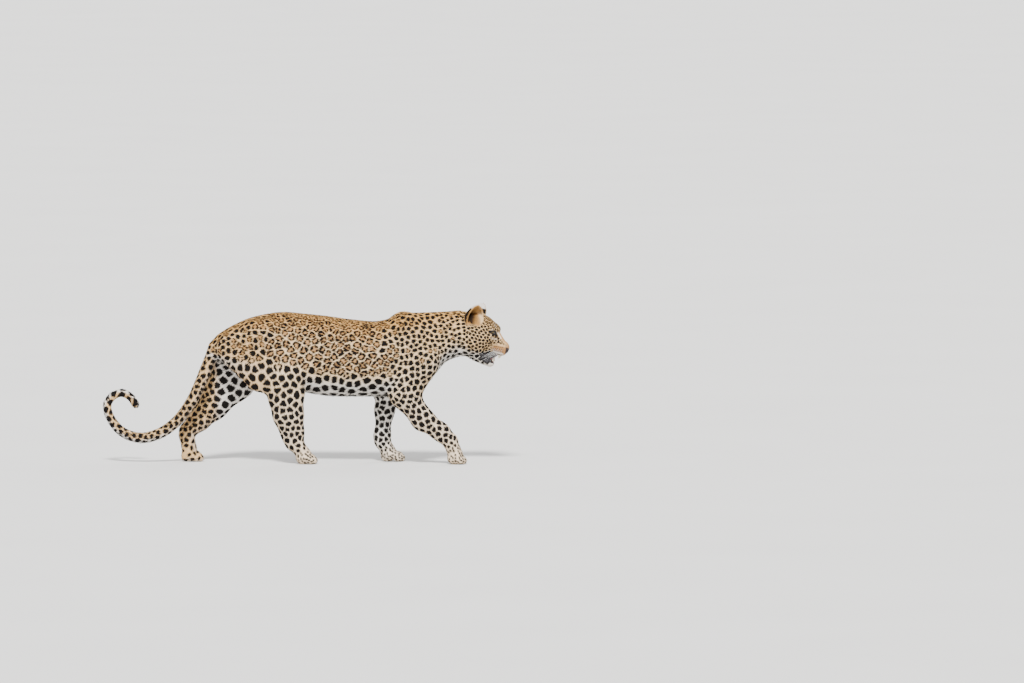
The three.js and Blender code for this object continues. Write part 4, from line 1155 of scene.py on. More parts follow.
def two_toned(tree, shader, value, dark, light):
    """Colours a shader between two tones by a texture's value."""
    tones = tree.nodes.new("ShaderNodeValToRGB")
    for element, tone in zip(tones.color_ramp.elements, (dark, light)):
        element.color = (*tone, 1)
    tree.links.new(value, tones.inputs["Fac"])
    tree.links.new(tones.outputs["Color"], shader.inputs["Base Color"])


def bumped(tree, shader, value, strength, distance):
    """Bump on a shader from a texture's value."""
    bump = tree.nodes.new("ShaderNodeBump")
    bump.inputs["Strength"].default_value = strength
    bump.inputs["Distance"].default_value = distance
    tree.links.new(value, bump.inputs["Height"])
    tree.links.new(bump.outputs["Normal"], shader.inputs["Normal"])


def skin_material():
    """Short undercoat and bare skin: colour from the markings, fine hair-wide bump."""
    material, tree, shader = principled("leopard_undercoat", 0.85, 0.2)
    coloured_by_marking(tree, shader)
    bare = tree.nodes.new("ShaderNodeAttribute")
    bare.attribute_name = "bare"
    rough = tree.nodes.new("ShaderNodeMapRange")
    rough.inputs["To Min"].default_value = 0.88
    rough.inputs["To Max"].default_value = 0.48
    tree.links.new(bare.outputs["Fac"], rough.inputs["Value"])
    tree.links.new(rough.outputs["Result"], shader.inputs["Roughness"])
    hairs = texture_value(tree, "ShaderNodeTexNoise", 900.0)
    hairs.node.inputs["Detail"].default_value = 3.0
    bumped(tree, shader, hairs, 0.35, 0.0008)
    return material


def coat_material():
    """Hair: colour from the markings, dull enough to keep them deep."""
    material, tree, shader = principled("leopard_coat", 0.8, 0.1)
    coloured_by_marking(tree, shader)
    return material


# The coat: the most tufts in a piece, a tuft's width against its length, and the pieces
TUFTS_A_PIECE = 49000
TUFT_WIDTH_SHARE = 0.24
PIECES = ("trunk_right", "trunk_left", "neck", "head", "forelegs", "hindlegs", "tail")


def piece_of(p, place):
    """Number of the coat piece that each point belongs to."""
    own, share = limb_share(p, place)
    number = np.where(p[:, 1] < 0, 0, 1)
    number = np.where(p[:, 0] > 545, 2, number)
    fore = (share > 0.35) & (own < 2)
    hind = (share > 0.35) & (own >= 2)
    number = np.where(fore, 4, number)
    number = np.where(hind, 5, number)
    tail = (place["tail"] < place["trunk"]) & (p[:, 0] < -385)
    number = np.where(tail & ~hind, 6, number)
    number = np.where((p[:, 0] > 655) & (place["head"] < 8) | (p[:, 0] > 700), 3, number)
    number = np.where((p[:, 0] > 655) & (ear_field(place["q"]) < 6), 3, number)
    return number


def tuft_length(p, place):
    """Length of the hairs at points, in millimetres."""
    height = place["height"]
    length = 10.5 + 6 * ramp(-height, 0.5, 0.95)
    own, share = limb_share(p, place)
    for k, side in enumerate(LIMBS):
        _, down, _ = limb_axis(p, side)
        leg = 10 - 2.5 * ramp(down, 0.35, 0.7) - 3 * ramp(down, 0.8, 0.92)
        mine = (own == k) * share
        length = length * (1 - mine) + leg * mine
    tail = on_tail(p, place)
    length = length * (1 - tail) + 12 * tail
    q = place["q"]
    head = ramp(p[:, 0], 640, 700) * ramp(30 - place["head"], -40, 5)
    face = 8 - 5.2 * ramp(q[:, 0], 20, 95) + 4 * ramp(-q[:, 0], 20, 60) * ramp(-q[:, 2], 0, 50)
    length = length * (1 - head) + face * head
    ear = ramp(6 - ear_field(q), 0, 4) * ramp(place["head"], 0, 8) * (p[:, 0] > HEAD_STARTS)
    return length * (1 - ear) + 6.5 * ear


def unwrap(p, place, piece):
    """Place of points on the skin's unwrap: along the body part, and round it."""
    x = p[:, 0]
    if piece in (0, 1, 2):
        middle = (along(x, 1) + along(x, 2)) / 2
        turn = np.arctan2(p[:, 2] - middle, np.abs(p[:, 1])) / math.pi + 0.5
        if piece == 2:
            turn = np.arctan2(p[:, 2] - middle, p[:, 1]) / (2 * math.pi) + 0.5
        low, high = (540, 730) if piece == 2 else (-410, 550)
        return np.column_stack([np.clip((x - low) / (high - low), 0, 1), turn])
    if piece == 3:
        q = place["q"]
        round_head = np.arctan2(q[:, 1], q[:, 2] + 10) / (2 * math.pi) + 0.5
        ear = ear_field(q) < 6
        u = np.clip((q[:, 0] + 100) / 240, 0, 1) * 0.7
        ear_u = 0.72 + 0.26 * np.clip((q[:, 0] + 80) / 90, 0, 1)
        ear_v = np.clip((q[:, 2] - 30) / 110, 0, 1) * 0.45 + np.where(q[:, 1] > 0, 0.5, 0.0)
        outside = ear & (plain_head_field(q) > 2)
        return np.column_stack([np.where(outside, ear_u, u), np.where(outside, ear_v, round_head)])
    if piece in (4, 5):
        own, _ = limb_share(p, place)
        result = np.zeros((len(p), 2))
        for k, side in enumerate(LIMBS):
            _, down, middle = limb_axis(p, side)
            away = p - middle
            turn = np.arctan2(away[:, 0] + away[:, 2] * 0.4, away[:, 1]) / (2 * math.pi) + 0.5
            half = 0.5 * (k % 2)
            mine = own == k
            result[mine] = np.column_stack([down * 0.98, turn * 0.49 + half])[mine]
        return result
    step = tail_step(place)
    away = p - TAIL_LINE[step]
    way = TAIL_WAYS[step]
    side = np.stack([-way[:, 2], np.zeros(len(p)), way[:, 0]], 1)
    turn = np.arctan2(away[:, 1], np.sum(away * side, 1)) / (2 * math.pi) + 0.5
    return np.column_stack([place["tail_share"], turn])


PATCH = 0.003
TUFT_SINK = 0.5


def bake_map(mesh, place):
    """The map for baking: each tuft a small patch at its root's place on the unwrap."""
    offset = np.array([(-0.5, -0.5), (0.5, -0.5), (0.0, 0.0), (0.0, 0.5)]) * PATCH
    uv = (np.clip(place, 0.004, 0.996)[:, None] + offset[None]).reshape(-1, 2)
    layer = mesh.uv_layers.new(name="OFBake")
    order = np.empty(len(mesh.loops), np.int32)
    mesh.loops.foreach_get("vertex_index", order)
    layer.data.foreach_set("uv", uv[order].astype(np.float32).ravel())


def make_coat(settings):
    """Tufts on the skin, by piece: thin closed spikes from a sunk root to a tip along the lie."""
    skin_points, skin_faces, skin_normals = SKIN["points"], SKIN["faces"], SKIN["normals"]
    rng = np.random.default_rng(settings.seed)
    corners = skin_points[skin_faces]
    middle = corners.mean(1)
    edges = corners[:, 1:] - corners[:, :1]
    area = np.linalg.norm(np.cross(edges[:, 0], edges[:, 1]), axis=1) / 2
    normal = skin_normals[skin_faces].mean(1)
    place = regions(middle)
    number = piece_of(middle, place)
    length = tuft_length(middle, place)
    nose, mouth = bare_skin(place["q"])
    m = mirrored(place["q"])
    opening, _ = lid_opening(m)
    at_eye = (np.linalg.norm(m - EYE_AT, axis=1) < EYE_RADIUS + 5) & (opening < LID_REACH - 0.5)
    at_eye &= middle[:, 0] > HEAD_STARTS
    weight = area * (10.5 / np.maximum(length, 3)) ** 1.3 * (1 - np.clip(nose + mouth, 0, 1))
    weight = np.where(at_eye | (middle[:, 2] < 1.0), 0, weight)
    material = coat_material()
    for piece, name in enumerate(PIECES):
        mine = np.nonzero((number == piece) & (weight > 0))[0]
        share = weight[mine].sum()
        count = int(min(TUFTS_A_PIECE, share * settings.tufts_per_cm2 / 100))
        run = np.cumsum(weight[mine]) / share
        draw = np.searchsorted(run, (np.arange(count) + rng.random(count)) / count)
        face = mine[draw.clip(0, len(mine) - 1)]
        a, b = rng.random(count), rng.random(count)
        flip = a + b > 1
        a, b = np.where(flip, 1 - a, a), np.where(flip, 1 - b, b)
        share_of = np.stack([a, b, 1 - a - b], 1)[:, :, None]
        root = (skin_points[skin_faces[face]] * share_of).sum(1)
        n = (skin_normals[skin_faces[face]] * share_of).sum(1)
        n /= np.linalg.norm(n, axis=1)[:, None] + 1e-9
        coat_piece(name, root, n, piece, rng, material, settings)


def coat_piece(name, root, n, piece, rng, material, settings):
    """One piece of coat: for each root a spike of three root corners and a tip."""
    place = regions(root)
    lie = lie_of_coat(root, n, place)
    across = np.cross(n, lie)
    count = len(root)
    length = tuft_length(root, place) * rng.uniform(0.75, 1.25, count) * settings.length_share
    swing = rng.normal(0, 0.16, count) + 0.25 * smooth_noise(root, 45.0, 21)
    way = lie * np.cos(swing)[:, None] + across * np.sin(swing)[:, None]
    rise = np.clip(rng.normal(settings.rise, 0.07, count), 0.05, 0.6)
    rise += 0.25 * ramp(-place["height"], 0.75, 1.05) * (piece in (0, 1))
    lifted = way * np.cos(rise)[:, None] + n * np.sin(rise)[:, None]
    side = np.cross(n, way)
    width = length * TUFT_WIDTH_SHARE * rng.uniform(0.8, 1.25, count)
    sink = n * TUFT_SINK
    left = root - side * width[:, None] / 2 - sink
    right = root + side * width[:, None] / 2 - sink
    ridge = root + n * (width * 0.28)[:, None] + way * (0.25 * length)[:, None]
    tip = root + lifted * length[:, None]
    points = np.stack([left, right, ridge, tip], 1).reshape(-1, 3)
    points[:, 2] = np.maximum(points[:, 2], 0.2)
    base = np.arange(count)[:, None] * 4
    faces = np.stack([base + [0, 1, 3], base + [1, 2, 3], base + [2, 0, 3], base + [0, 2, 1]], 1)
    mesh = mesh_from(points, flip_outward(points, faces.reshape(-1, 3)))
    colour = markings(root + way * (0.58 * length)[:, None], n, SKIN["seeds"], tones_of(settings))
    shade = rng.uniform(0.84, 1.12, count)[:, None]
    # Painted shade and light on each tuft: its two root corners darker, its ridge nearly even, its
    # tip lighter
    root_shade_tip_light = (0.78, 0.78, 0.98, 1.1)
    corner = np.stack([colour * shade * share for share in root_shade_tip_light], 1).reshape(-1, 3)
    attribute(mesh, "marking", "FLOAT_COLOR", np.clip(corner, 0, 1))
    bake_map(mesh, unwrap(root, place, piece))
    soft = np.repeat(n, 4, 0)
    own = np.stack([-side * 0.45, side * 0.45, n * 0.2, lifted * 0.15], 1).reshape(-1, 3)
    soft = soft + own
    soft /= np.linalg.norm(soft, axis=1)[:, None]
    mesh.normals_split_custom_set_from_vertices(soft.astype(np.float32))
    mesh.materials.append(material)
    return new_piece("coat_" + name, mesh)


def flip_outward(points, faces):
    """Turns each spike's faces out, by the sign of its volume."""
    a, b, c = points[faces[:, 0]], points[faces[:, 1]], points[faces[:, 2]]
    volume = np.sum(a * np.cross(b, c), 1).reshape(-1, 4).sum(1)
    wrong = np.repeat(volume < 0, 4)
    faces = faces.copy()
    faces[wrong] = faces[wrong][:, ::-1]
    return faces


SKIN = {}


def build_skin(settings):
    """The one skin: body and head surfaces joined at the neck, with its markings."""
    body = level_surface(BODY_LOW, BODY_HIGH, settings.body_cell)
    head = level_surface(HEAD_LOW, HEAD_HIGH, settings.head_cell)
    mesh = joined_at_neck(body, head)
    points, faces, normals = mesh_arrays(mesh)
    bpy.data.meshes.remove(mesh)
    seeds = scatter_markings(points, normals, settings.seed + 7)
    colour = markings(points, normals, seeds, tones_of(settings))
    q = to_head(points)
    nose, mouth = bare_skin(q)
    colour = mix(colour, LEATHER, nose)
    # The black lip is painted lighter on the crests of its folds, a painted highlight
    crest_highlight = (0.5 + 0.5 * fold_ridges(q)) ** 2 * ramp(-black_lip(q), 0, 5)
    lip = mix(GUM, LIP_CREST_HIGHLIGHT, crest_highlight)
    flesh = ramp(-mouth_cavity(q), -2.5, 0)
    lining = mix(lip, FLESH_TONE, flesh)
    colour = mix(colour, lining, mouth)
    mesh = mesh_from(points, faces)
    attribute(mesh, "marking", "FLOAT_COLOR", np.clip(colour, 0, 1))
    attribute(mesh, "bare", "FLOAT", np.clip(nose + mouth, 0, 1))
    mesh.materials.append(skin_material())
    skin = new_piece("leopard_skin", mesh, FLESH)
    SKIN.update(points=points, faces=faces, normals=normals, seeds=seeds)
    return skin


def grid_faces(rows, columns):
    """Triangles of a grid of rows and columns, closed round each row."""
    i, j = np.meshgrid(np.arange(rows - 1), np.arange(columns), indexing="ij")
    k = (j + 1) % columns
    quads = [i * columns + j, i * columns + k, (i + 1) * columns + k, (i + 1) * columns + j]
    return halved(np.stack(quads, -1).reshape(-1, 4))


def halved(quads):
    """Each quad as two triangles."""
    return np.vstack([quads[:, [0, 1, 2]], quads[:, [0, 2, 3]]])


def capped_tube(line, radii, sides):
    """Rings of the given radii round a line, with a point at each end, as triangles."""
    ways = np.gradient(line, axis=0)
    ways /= np.linalg.norm(ways, axis=1)[:, None]
    up = np.array([0.0, 0.0, 1.0]) if abs(ways[0, 2]) < 0.8 else np.array([1.0, 0.0, 0.0])
    first = np.cross(ways, up)
    first /= np.linalg.norm(first, axis=1)[:, None]
    second = np.cross(ways, first)
    turn = np.linspace(0, 2 * math.pi, sides, endpoint=False)
    ring = (np.cos(turn)[None, :, None] * first[:, None]
            + np.sin(turn)[None, :, None] * second[:, None])
    points = (line[:, None] + ring * np.asarray(radii)[:, None, None]).reshape(-1, 3)
    faces = grid_faces(len(line), sides)
    start, end = len(points), len(points) + 1
    points = np.vstack([points, line[0], line[-1]])
    j = np.arange(sides)
    k = (j + 1) % sides
    last = (len(line) - 1) * sides
    caps = np.vstack([np.column_stack([np.full(sides, start), k, j]),
                      np.column_stack([np.full(sides, end), last + j, last + k])])
    faces = np.vstack([faces, caps])
    a, b, c = points[faces[:, 0]], points[faces[:, 1]], points[faces[:, 2]]
    if np.sum(a * np.cross(b, c)) < 0:
        faces = faces[:, ::-1]
    return points, faces


def stacked(parts):
    """Several points-and-faces pairs as one."""
    points, faces, start = [], [], 0
    for p, f in parts:
        points.append(p)
        faces.append(f + start)
        start += len(p)
    return np.vstack(points), np.vstack(faces)


IRIS = np.array([0.085, 0.058, 0.016])
IRIS_RIM = np.array([0.03, 0.02, 0.008])


def build_eye(side, node):
    """A ball with a raised cornea: pupil, flecked iris, dark rim and brown white by angle."""
    rows, columns = 49, 64
    polar = np.linspace(0, math.pi, rows)[:, None]
    turn = np.linspace(0, 2 * math.pi, columns, endpoint=False)[None]
    radius = EYE_RADIUS - 0.25 + 1.1 * np.exp(-(polar / 0.55) ** 4)
    way = eye_way(side)
    across, up = eye_axes(side)
    points = (radius * np.cos(polar))[..., None] * way
    points = points + (radius * np.sin(polar) * np.cos(turn))[..., None] * across
    points = points + (radius * np.sin(polar) * np.sin(turn))[..., None] * up
    middle = EYE_AT * np.array([1, side, 1])
    points = from_head(points.reshape(-1, 3) + middle)
    angle = np.repeat(polar, columns, 1).ravel()
    around = np.repeat(turn, rows, 0).ravel()
    flecks = 0.5 + 0.5 * np.sin(around * 23 + 3 * np.sin(around * 5)) * np.sin(angle * 31 + 1)
    colour = IRIS[None] * (0.65 + 0.6 * flecks[:, None])
    colour = mix(colour, BLACK * 0.4, ramp(0.235 - angle, 0, 0.03))
    colour = mix(colour, IRIS_RIM, ramp(angle, 0.6, 0.7))
    colour = mix(colour, EYE_WHITE, ramp(angle, 0.84, 1.0))
    faces = grid_faces(rows, columns)
    a, b, c = points[faces[:, 0]], points[faces[:, 1]], points[faces[:, 2]]
    centre = points.mean(0)
    if np.sum((a - centre) * np.cross(b - centre, c - centre)) < 0:
        faces = faces[:, ::-1]
    mesh = mesh_from(points, faces)
    attribute(mesh, "marking", "FLOAT_COLOR", colour)
    bm = bmesh.new()
    bm.from_mesh(mesh)
    bmesh.ops.remove_doubles(bm, verts=bm.verts[:], dist=1e-6)
    bm.to_mesh(mesh)
    bm.free()
    material, tree, shader = principled("eye_" + node[4:], 0.12, 0.35, 0.5)
    shader.inputs["Coat Roughness"].default_value = 0.02
    coloured_by_marking(tree, shader)
    mesh.materials.append(material)
    return new_piece("eye_ball_" + node[4:], mesh, [node])


def build_lids(side, word):
    """Lids of one eye: a closed ring over the ball, from the almond's edge under the skin.

    Round the almond by an angle, and across by a share: out over the lid and back beneath it.
    """
    rows, columns = 72, 22
    turn = np.linspace(0, 2 * math.pi, rows, endpoint=False)[:, None]
    share = np.linspace(0, 1, columns, endpoint=False)[None]
    out = np.where(share < 0.6, share / 0.6, (1 - share) / 0.4)
    crown = np.where(share < 0.6, np.sin(np.clip(out * 2.6, 0, math.pi / 2)), 0.0)
    wide = LID_HALF * np.cos(turn)
    high = np.sign(np.sin(turn)) * np.abs(np.sin(turn)) ** 1.7
    high = np.where(high > 0, LID_UPPER * high, LID_LOWER * high) + lid_line(wide)
    spread = 8.0 * out
    wide = wide + spread * np.cos(turn)
    high = high + spread * np.sin(turn)
    flat = np.hypot(wide, high) / EYE_RADIUS
    bend = np.arcsin(np.minimum(flat, 0.86)) + 1.2 * np.maximum(flat - 0.86, 0)
    around = np.arctan2(high, wide)
    across, up = eye_axes()
    rise = 0.3 + 0.9 * np.exp(-(bend / 0.6) ** 4) + LID_THICK * crown * (1 - 0.75 * out ** 3)
    reach = EYE_RADIUS + rise
    way = eye_way()
    local = (np.cos(bend) * reach)[..., None] * way
    local = local + (np.sin(bend) * np.cos(around) * reach)[..., None] * across
    local = local + (np.sin(bend) * np.sin(around) * reach)[..., None] * up
    q = (local + EYE_AT).reshape(-1, 3) * np.array([1, side, 1])
    points = from_head(q)
    i, j = np.meshgrid(np.arange(rows), np.arange(columns), indexing="ij")
    k, l = (i + 1) % rows, (j + 1) % columns
    quads = np.stack([i * columns + j, k * columns + j, k * columns + l, i * columns + l], -1)
    quads = quads.reshape(-1, 4)
    mesh = closed_mesh(points, halved(quads))
    edge = np.repeat(ramp(out, 0.2, 0.9), rows, 0).reshape(-1)
    tone = mix(GUM, LID_EDGE, edge)
    attribute(mesh, "marking", "FLOAT_COLOR", tone)
    attribute(mesh, "bare", "FLOAT", 0.8 - 0.8 * edge)
    mesh.materials.append(skin_material())
    return new_piece("lids_" + word, mesh)


def build_tongue():
    """A long pad: half width and thickness by the sine of the way along, with a groove."""
    rows, columns = 40, 36
    along_it = np.linspace(0.0, 1.0, rows)
    turn = np.linspace(0, 2 * math.pi, columns, endpoint=False)
    spread = np.sqrt(np.clip(1 - (2 * np.clip(along_it, 0.0, 1.0) - 1) ** 4, 0, 1))
    x = 24 + 58 * along_it
    line_z = MOUTH_CORNER[1] + (x - MOUTH_CORNER[0]) * (MOUTH_LOWER[1] - MOUTH_CORNER[1]) / (
        MOUTH_LOWER[0] - MOUTH_CORNER[0])
    z = line_z + 4.0 + 2.5 * np.sin(along_it * math.pi)
    wide, thick = 15 * spread, 5.2 * spread
    px = np.repeat(x[:, None], columns, 1)
    py = wide[:, None] * np.cos(turn)[None]
    groove = 1.6 * np.exp(-(py / 2.6) ** 2) * (np.sin(turn)[None] > 0)
    pz = z[:, None] + thick[:, None] * np.sin(turn)[None] - groove * spread[:, None]
    points = from_head(np.stack([px, py, pz], -1).reshape(-1, 3))
    mesh = closed_mesh(points, grid_faces(rows, columns))
    material, tree, shader = principled("tongue", 0.42, 0.5)
    papillae = texture_value(tree, "ShaderNodeTexVoronoi", 900.0)
    two_toned(tree, shader, papillae, (0.42, 0.15, 0.16), (0.56, 0.26, 0.26))
    bumped(tree, shader, papillae, 0.5, 0.0006)
    mesh.materials.append(material)
    return new_piece("tongue_pad", mesh, ["tongue"])


def closed_mesh(points, faces):
    """Mesh with doubles at its poles merged and its faces turned out."""
    mesh = mesh_from(points, faces)
    bm = bmesh.new()
    bm.from_mesh(mesh)
    bmesh.ops.remove_doubles(bm, verts=bm.verts[:], dist=1e-6)
    bmesh.ops.holes_fill(bm, edges=[e for e in bm.edges if e.is_boundary])
    bmesh.ops.recalc_face_normals(bm, faces=bm.faces[:])
    bm.to_mesh(mesh)
    bm.free()
    return mesh


def tooth(base, way, height, radius, curl):
    """A curved cone: its middle line bends by curl, its radius falls as a root of the rest."""
    t = np.linspace(0, 1, 12)
    line = base + way * (t * height)[:, None] + curl * (t ** 2)[:, None]
    return capped_tube(from_head(line), radius * (1 - t ** 1.6) ** 0.8 + 0.15, 14)


def build_teeth():
    """Canines and the small front teeth between them, in both jaws."""
    slope_low = (MOUTH_LOWER[1] - MOUTH_CORNER[1]) / (MOUTH_LOWER[0] - MOUTH_CORNER[0])
    slope_up = (MOUTH_UPPER[1] - MOUTH_CORNER[1]) / (MOUTH_UPPER[0] - MOUTH_CORNER[0])
    parts = []
    for side in (-1, 1):
        upper = np.array([100, 14 * side, MOUTH_CORNER[1] + slope_up * 74 + 2.5])
        parts.append(tooth(upper, np.array([0.12, 0.05 * side, -1.0]), 19, 4.2,
                           np.array([-3.0, 0, 0])))
        lower = np.array([77, 9.6 * side, MOUTH_CORNER[1] + slope_low * 51 - 1.5])
        parts.append(tooth(lower, np.array([0.22, 0.16 * side, 1.0]), 16, 3.6,
                           np.array([-2.5, 0, 0])))
    for k in range(6):
        y = (k - 2.5) * 3.0
        upper = np.array([109.5 - 0.06 * y * y, y * 1.15, MOUTH_CORNER[1] + slope_up * 84 + 2])
        parts.append(tooth(upper, np.array([0.1, 0, -1.0]), 6.5, 1.6, np.array([-0.6, 0, 0])))
        lower = np.array([83.0 - 0.05 * y * y, y * 0.85, MOUTH_CORNER[1] + slope_low * 57 - 1])
        parts.append(tooth(lower, np.array([0.25, 0, 1.0]), 5.5, 1.35, np.array([-0.5, 0, 0])))
    points, faces = stacked(parts)
    mesh = mesh_from(points, faces)
    material, tree, shader = principled("tooth_enamel", 0.28, 0.5)
    stain = texture_value(tree, "ShaderNodeTexNoise", 160.0)
    two_toned(tree, shader, stain, (0.62, 0.50, 0.30), (0.84, 0.78, 0.64))
    mesh.materials.append(material)
    nodes = ["canine_%s_%s" % (row, side)
             for row in ("upper", "lower") for side in ("left", "right")]
    return new_piece("teeth", mesh, nodes)


def build_whiskers(seed):
    """Fine tapered hairs from each whisker pad, curving out and back, and a few over the eyes."""
    rng = np.random.default_rng(seed)
    parts = []
    for side in (-1, 1):
        for row in range(4):
            for k in range(5):
                start = np.array([112 - 7.5 * k, 0, -36 - 6.2 * row - 0.5 * k])
                reach = np.linspace(0, 60, 601)
                line = start + reach[:, None] * np.array([0, side, 0])
                inside = plain_head_field(line) < 0
                start = line[np.nonzero(inside)[0].max()] - np.array([0, side * 3.0, 0])
                way = np.array([0.25 - 0.16 * k, side, -0.28 - 0.07 * row + 0.05 * rng.normal()])
                way /= np.linalg.norm(way)
                long = (34 + 9 * k) * rng.uniform(0.85, 1.1)
                t = np.linspace(0, 1, 9)
                bend = np.array([-0.4, 0.0, -0.30]) * long
                points = start + way * (t * long)[:, None] + bend * (t ** 2)[:, None]
                parts.append(capped_tube(from_head(points), 0.32 * (1 - t) + 0.06, 4))
        for k in range(3):
            start = (EYE_AT + (4 + 3 * k, -8 + 3 * k, 17)) * np.array([1, side, 1])
            way = np.array([0.25, 0.5 * side, 0.9])
            t = np.linspace(0, 1, 8)
            bend = np.array([-12.0, 4 * side, -2])
            points = start + way * (t * 30)[:, None] + bend * (t ** 2)[:, None]
            parts.append(capped_tube(from_head(points), 0.26 * (1 - t) + 0.05, 4))
    points, faces = stacked(parts)
    mesh = mesh_from(points, faces)
    material, _, shader = principled("whisker", 0.35, 0.5)
    shader.inputs["Base Color"].default_value = (0.86, 0.84, 0.80, 1)
    mesh.materials.append(material)
    return new_piece("whiskers", mesh)


FLOOR_HALF = 60.0
FLOOR_DROP = 0.0005


def build_stage():
    """Pale floor as far as the camera sees, soft light from above, and the camera."""
    mesh = bpy.data.meshes.new("studio_floor")
    corners = [(x * FLOOR_HALF, y * FLOOR_HALF, -FLOOR_DROP)
               for x, y in ((-1, -1), (1, -1), (1, 1), (-1, 1))]
    mesh.from_pydata(corners, [], [(0, 1, 2, 3)])
    floor = bpy.data.objects.new("studio_floor", mesh)
    bpy.context.scene.collection.objects.link(floor)
    material, tree, shader = principled("studio_floor", 0.9, 0.2)
    cloud = texture_value(tree, "ShaderNodeTexNoise", 1.2)
    two_toned(tree, shader, cloud, (0.70, 0.69, 0.665), (0.75, 0.74, 0.715))
    mesh.materials.append(material)
    world = bpy.data.worlds.new("studio")
    bpy.context.scene.world = world
    world.use_nodes = True
    world.node_tree.nodes["Background"].inputs["Color"].default_value = (0.96, 0.97, 1.0, 1)
    world.node_tree.nodes["Background"].inputs["Strength"].default_value = 1.05
    for name, turn, energy, wide in (("key", (38, 12, -18), 6.3, 12),
                                     ("fill", (58, 0, 150), 1.2, 40)):
        lamp = bpy.data.lights.new(name, "SUN")
        lamp.energy = energy
        lamp.angle = math.radians(wide)
        light = bpy.data.objects.new(name, lamp)
        light.rotation_euler = [math.radians(v) for v in turn]
        bpy.context.scene.collection.objects.link(light)
    build_camera()


def build_camera():
    """Camera far off on the animal's right, aimed at the photograph's middle pixel."""
    target = Vector(to_frame(np.array([
        (PHOTO_MIDDLE_PIXEL[0] - PHOTO_ORIGIN_PIXEL[0]) * PHOTO_MM_PER_PIXEL, 0.0,
        (PHOTO_ORIGIN_PIXEL[1] - PHOTO_MIDDLE_PIXEL[1]) * PHOTO_MM_PER_PIXEL])))
    back = Vector((0, -math.cos(CAMERA_RISE), math.sin(CAMERA_RISE)))
    data = bpy.data.cameras.new("photo_camera")
    data.sensor_width = SENSOR_WIDTH
    data.lens = SENSOR_WIDTH * CAMERA_DISTANCE / (PHOTO_WIDTH * PHOTO_MM_PER_PIXEL * MM)
    data.clip_end = 300.0
    camera = bpy.data.objects.new("photo_camera", data)
    camera.location = target + back * CAMERA_DISTANCE
    camera.rotation_euler = (-back).to_track_quat("-Z", "Y").to_euler()
    bpy.context.scene.collection.objects.link(camera)
    bpy.context.scene.camera = camera


class LeopardSettings(bpy.types.PropertyGroup):
    """Sizes that shape the skin and its coat, and the coat's colours."""

    body_cell: bpy.props.FloatProperty(
        name="Body Cell", description="Grid step of the body's surface, in millimetres",
        default=5.7, min=3.0, max=12.0)
    head_cell: bpy.props.FloatProperty(
        name="Head Cell", description="Grid step of the head's surface, in millimetres",
        default=2.35, min=1.5, max=8.0)
    tufts_per_cm2: bpy.props.FloatProperty(
        name="Tufts", description="Tufts on each square centimetre of the flank",
        default=16.0, min=0.5, max=40.0)
    length_share: bpy.props.FloatProperty(
        name="Hair Length", description="Length of the hairs against their natural length",
        default=1.0, min=0.2, max=3.0, subtype="FACTOR")
    rise: bpy.props.FloatProperty(
        name="Rise", description="Angle of the hairs off the skin",
        default=0.2, min=0.0, max=1.2, subtype="ANGLE", unit="ROTATION")
    seed: bpy.props.IntProperty(
        name="Seed", description="Number that fixes every random draw", default=11, min=0)
    gold: bpy.props.FloatVectorProperty(
        name="Gold", description="Ground of the coat along the back", subtype="COLOR",
        default=(0.72, 0.40, 0.13), min=0.0, max=1.0)
    tawny: bpy.props.FloatVectorProperty(
        name="Tawny", description="Middle of the rosettes", subtype="COLOR",
        default=(0.44, 0.21, 0.065), min=0.0, max=1.0)
    cream: bpy.props.FloatVectorProperty(
        name="Cream", description="Ground of the coat on the flanks", subtype="COLOR",
        default=(0.88, 0.63, 0.36), min=0.0, max=1.0)
    white: bpy.props.FloatVectorProperty(
        name="White", description="Belly, throat and inner legs", subtype="COLOR",
        default=(0.86, 0.80, 0.73), min=0.0, max=1.0)


class LEOPARD_OT_skin(bpy.types.Operator):
    """Build the skin that covers the whole animal"""

    bl_idname = "leopard.skin"
    bl_label = "Skin"

    def execute(self, context):
        build_skin(context.scene.leopard_settings)
        return {"FINISHED"}


class LEOPARD_OT_coat(bpy.types.Operator):
    """Set tufts of hair over the skin"""

    bl_idname = "leopard.coat"
    bl_label = "Coat"

    def execute(self, context):
        make_coat(context.scene.leopard_settings)
        return {"FINISHED"}


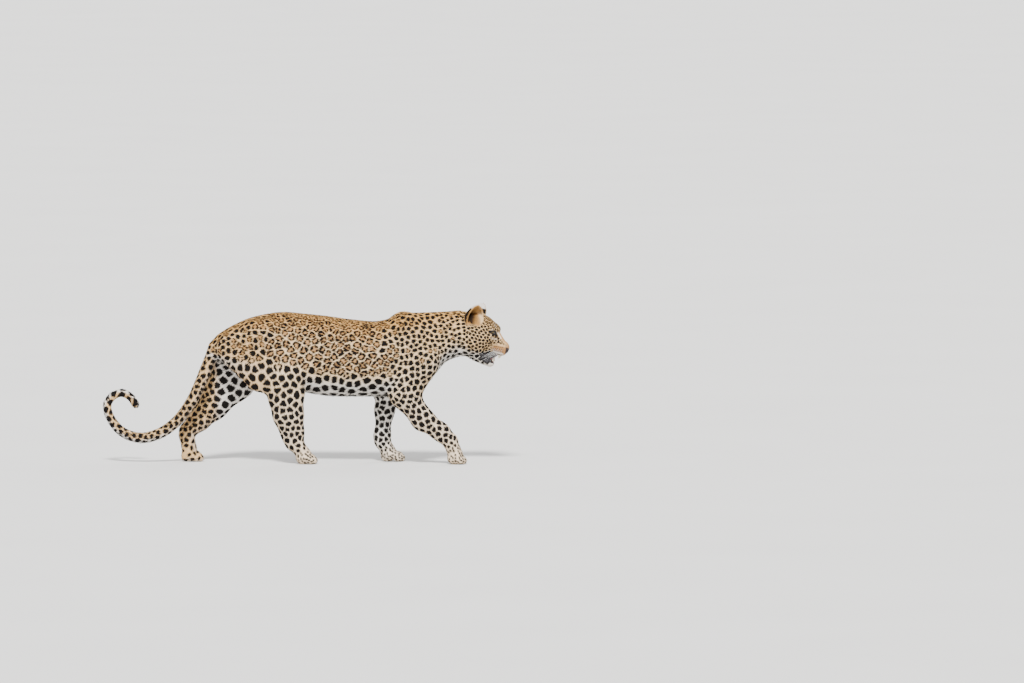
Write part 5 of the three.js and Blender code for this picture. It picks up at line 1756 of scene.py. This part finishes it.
class LEOPARD_OT_eyes(bpy.types.Operator):
    """Build both eyes and their lids"""

    bl_idname = "leopard.eyes"
    bl_label = "Eyes"

    def execute(self, context):
        for side, word in ((1, "left"), (-1, "right")):
            build_eye(side, "eye_" + word)
            build_lids(side, word)
        return {"FINISHED"}


class LEOPARD_OT_mouth(bpy.types.Operator):
    """Build the tongue, the teeth and the whiskers"""

    bl_idname = "leopard.mouth"
    bl_label = "Mouth"

    def execute(self, context):
        build_tongue()
        build_teeth()
        build_whiskers(context.scene.leopard_settings.seed + 3)
        return {"FINISHED"}


class LEOPARD_OT_stage(bpy.types.Operator):
    """Build the floor, the lights and the camera"""

    bl_idname = "leopard.stage"
    bl_label = "Stage"

    def execute(self, context):
        build_stage()
        return {"FINISHED"}


class LEOPARD_PT_panel(bpy.types.Panel):
    """Lists the leopard's sizes and pieces"""

    bl_idname = "LEOPARD_PT_panel"
    bl_label = "Leopard"
    bl_space_type = "VIEW_3D"
    bl_region_type = "UI"
    bl_category = "Leopard"

    def draw(self, context):
        settings = context.scene.leopard_settings
        for name in ("body_cell", "head_cell", "tufts_per_cm2", "length_share", "rise", "seed",
                     "gold", "tawny", "cream", "white"):
            self.layout.prop(settings, name)
        for piece in ("stage", "skin", "coat", "eyes", "mouth"):
            self.layout.operator("leopard." + piece)


CLASSES = (LeopardSettings, LEOPARD_OT_skin, LEOPARD_OT_coat, LEOPARD_OT_eyes, LEOPARD_OT_mouth,
           LEOPARD_OT_stage, LEOPARD_PT_panel)


def register():
    for cls in CLASSES:
        bpy.utils.register_class(cls)
    bpy.types.Scene.leopard_settings = bpy.props.PointerProperty(type=LeopardSettings)


def unregister():
    del bpy.types.Scene.leopard_settings
    for cls in reversed(CLASSES):
        bpy.utils.unregister_class(cls)


def main():
    """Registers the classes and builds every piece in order."""
    register()
    bpy.ops.leopard.stage()
    bpy.ops.leopard.skin()
    bpy.ops.leopard.coat()
    bpy.ops.leopard.eyes()
    bpy.ops.leopard.mouth()


if __name__ == "__main__":
    main()
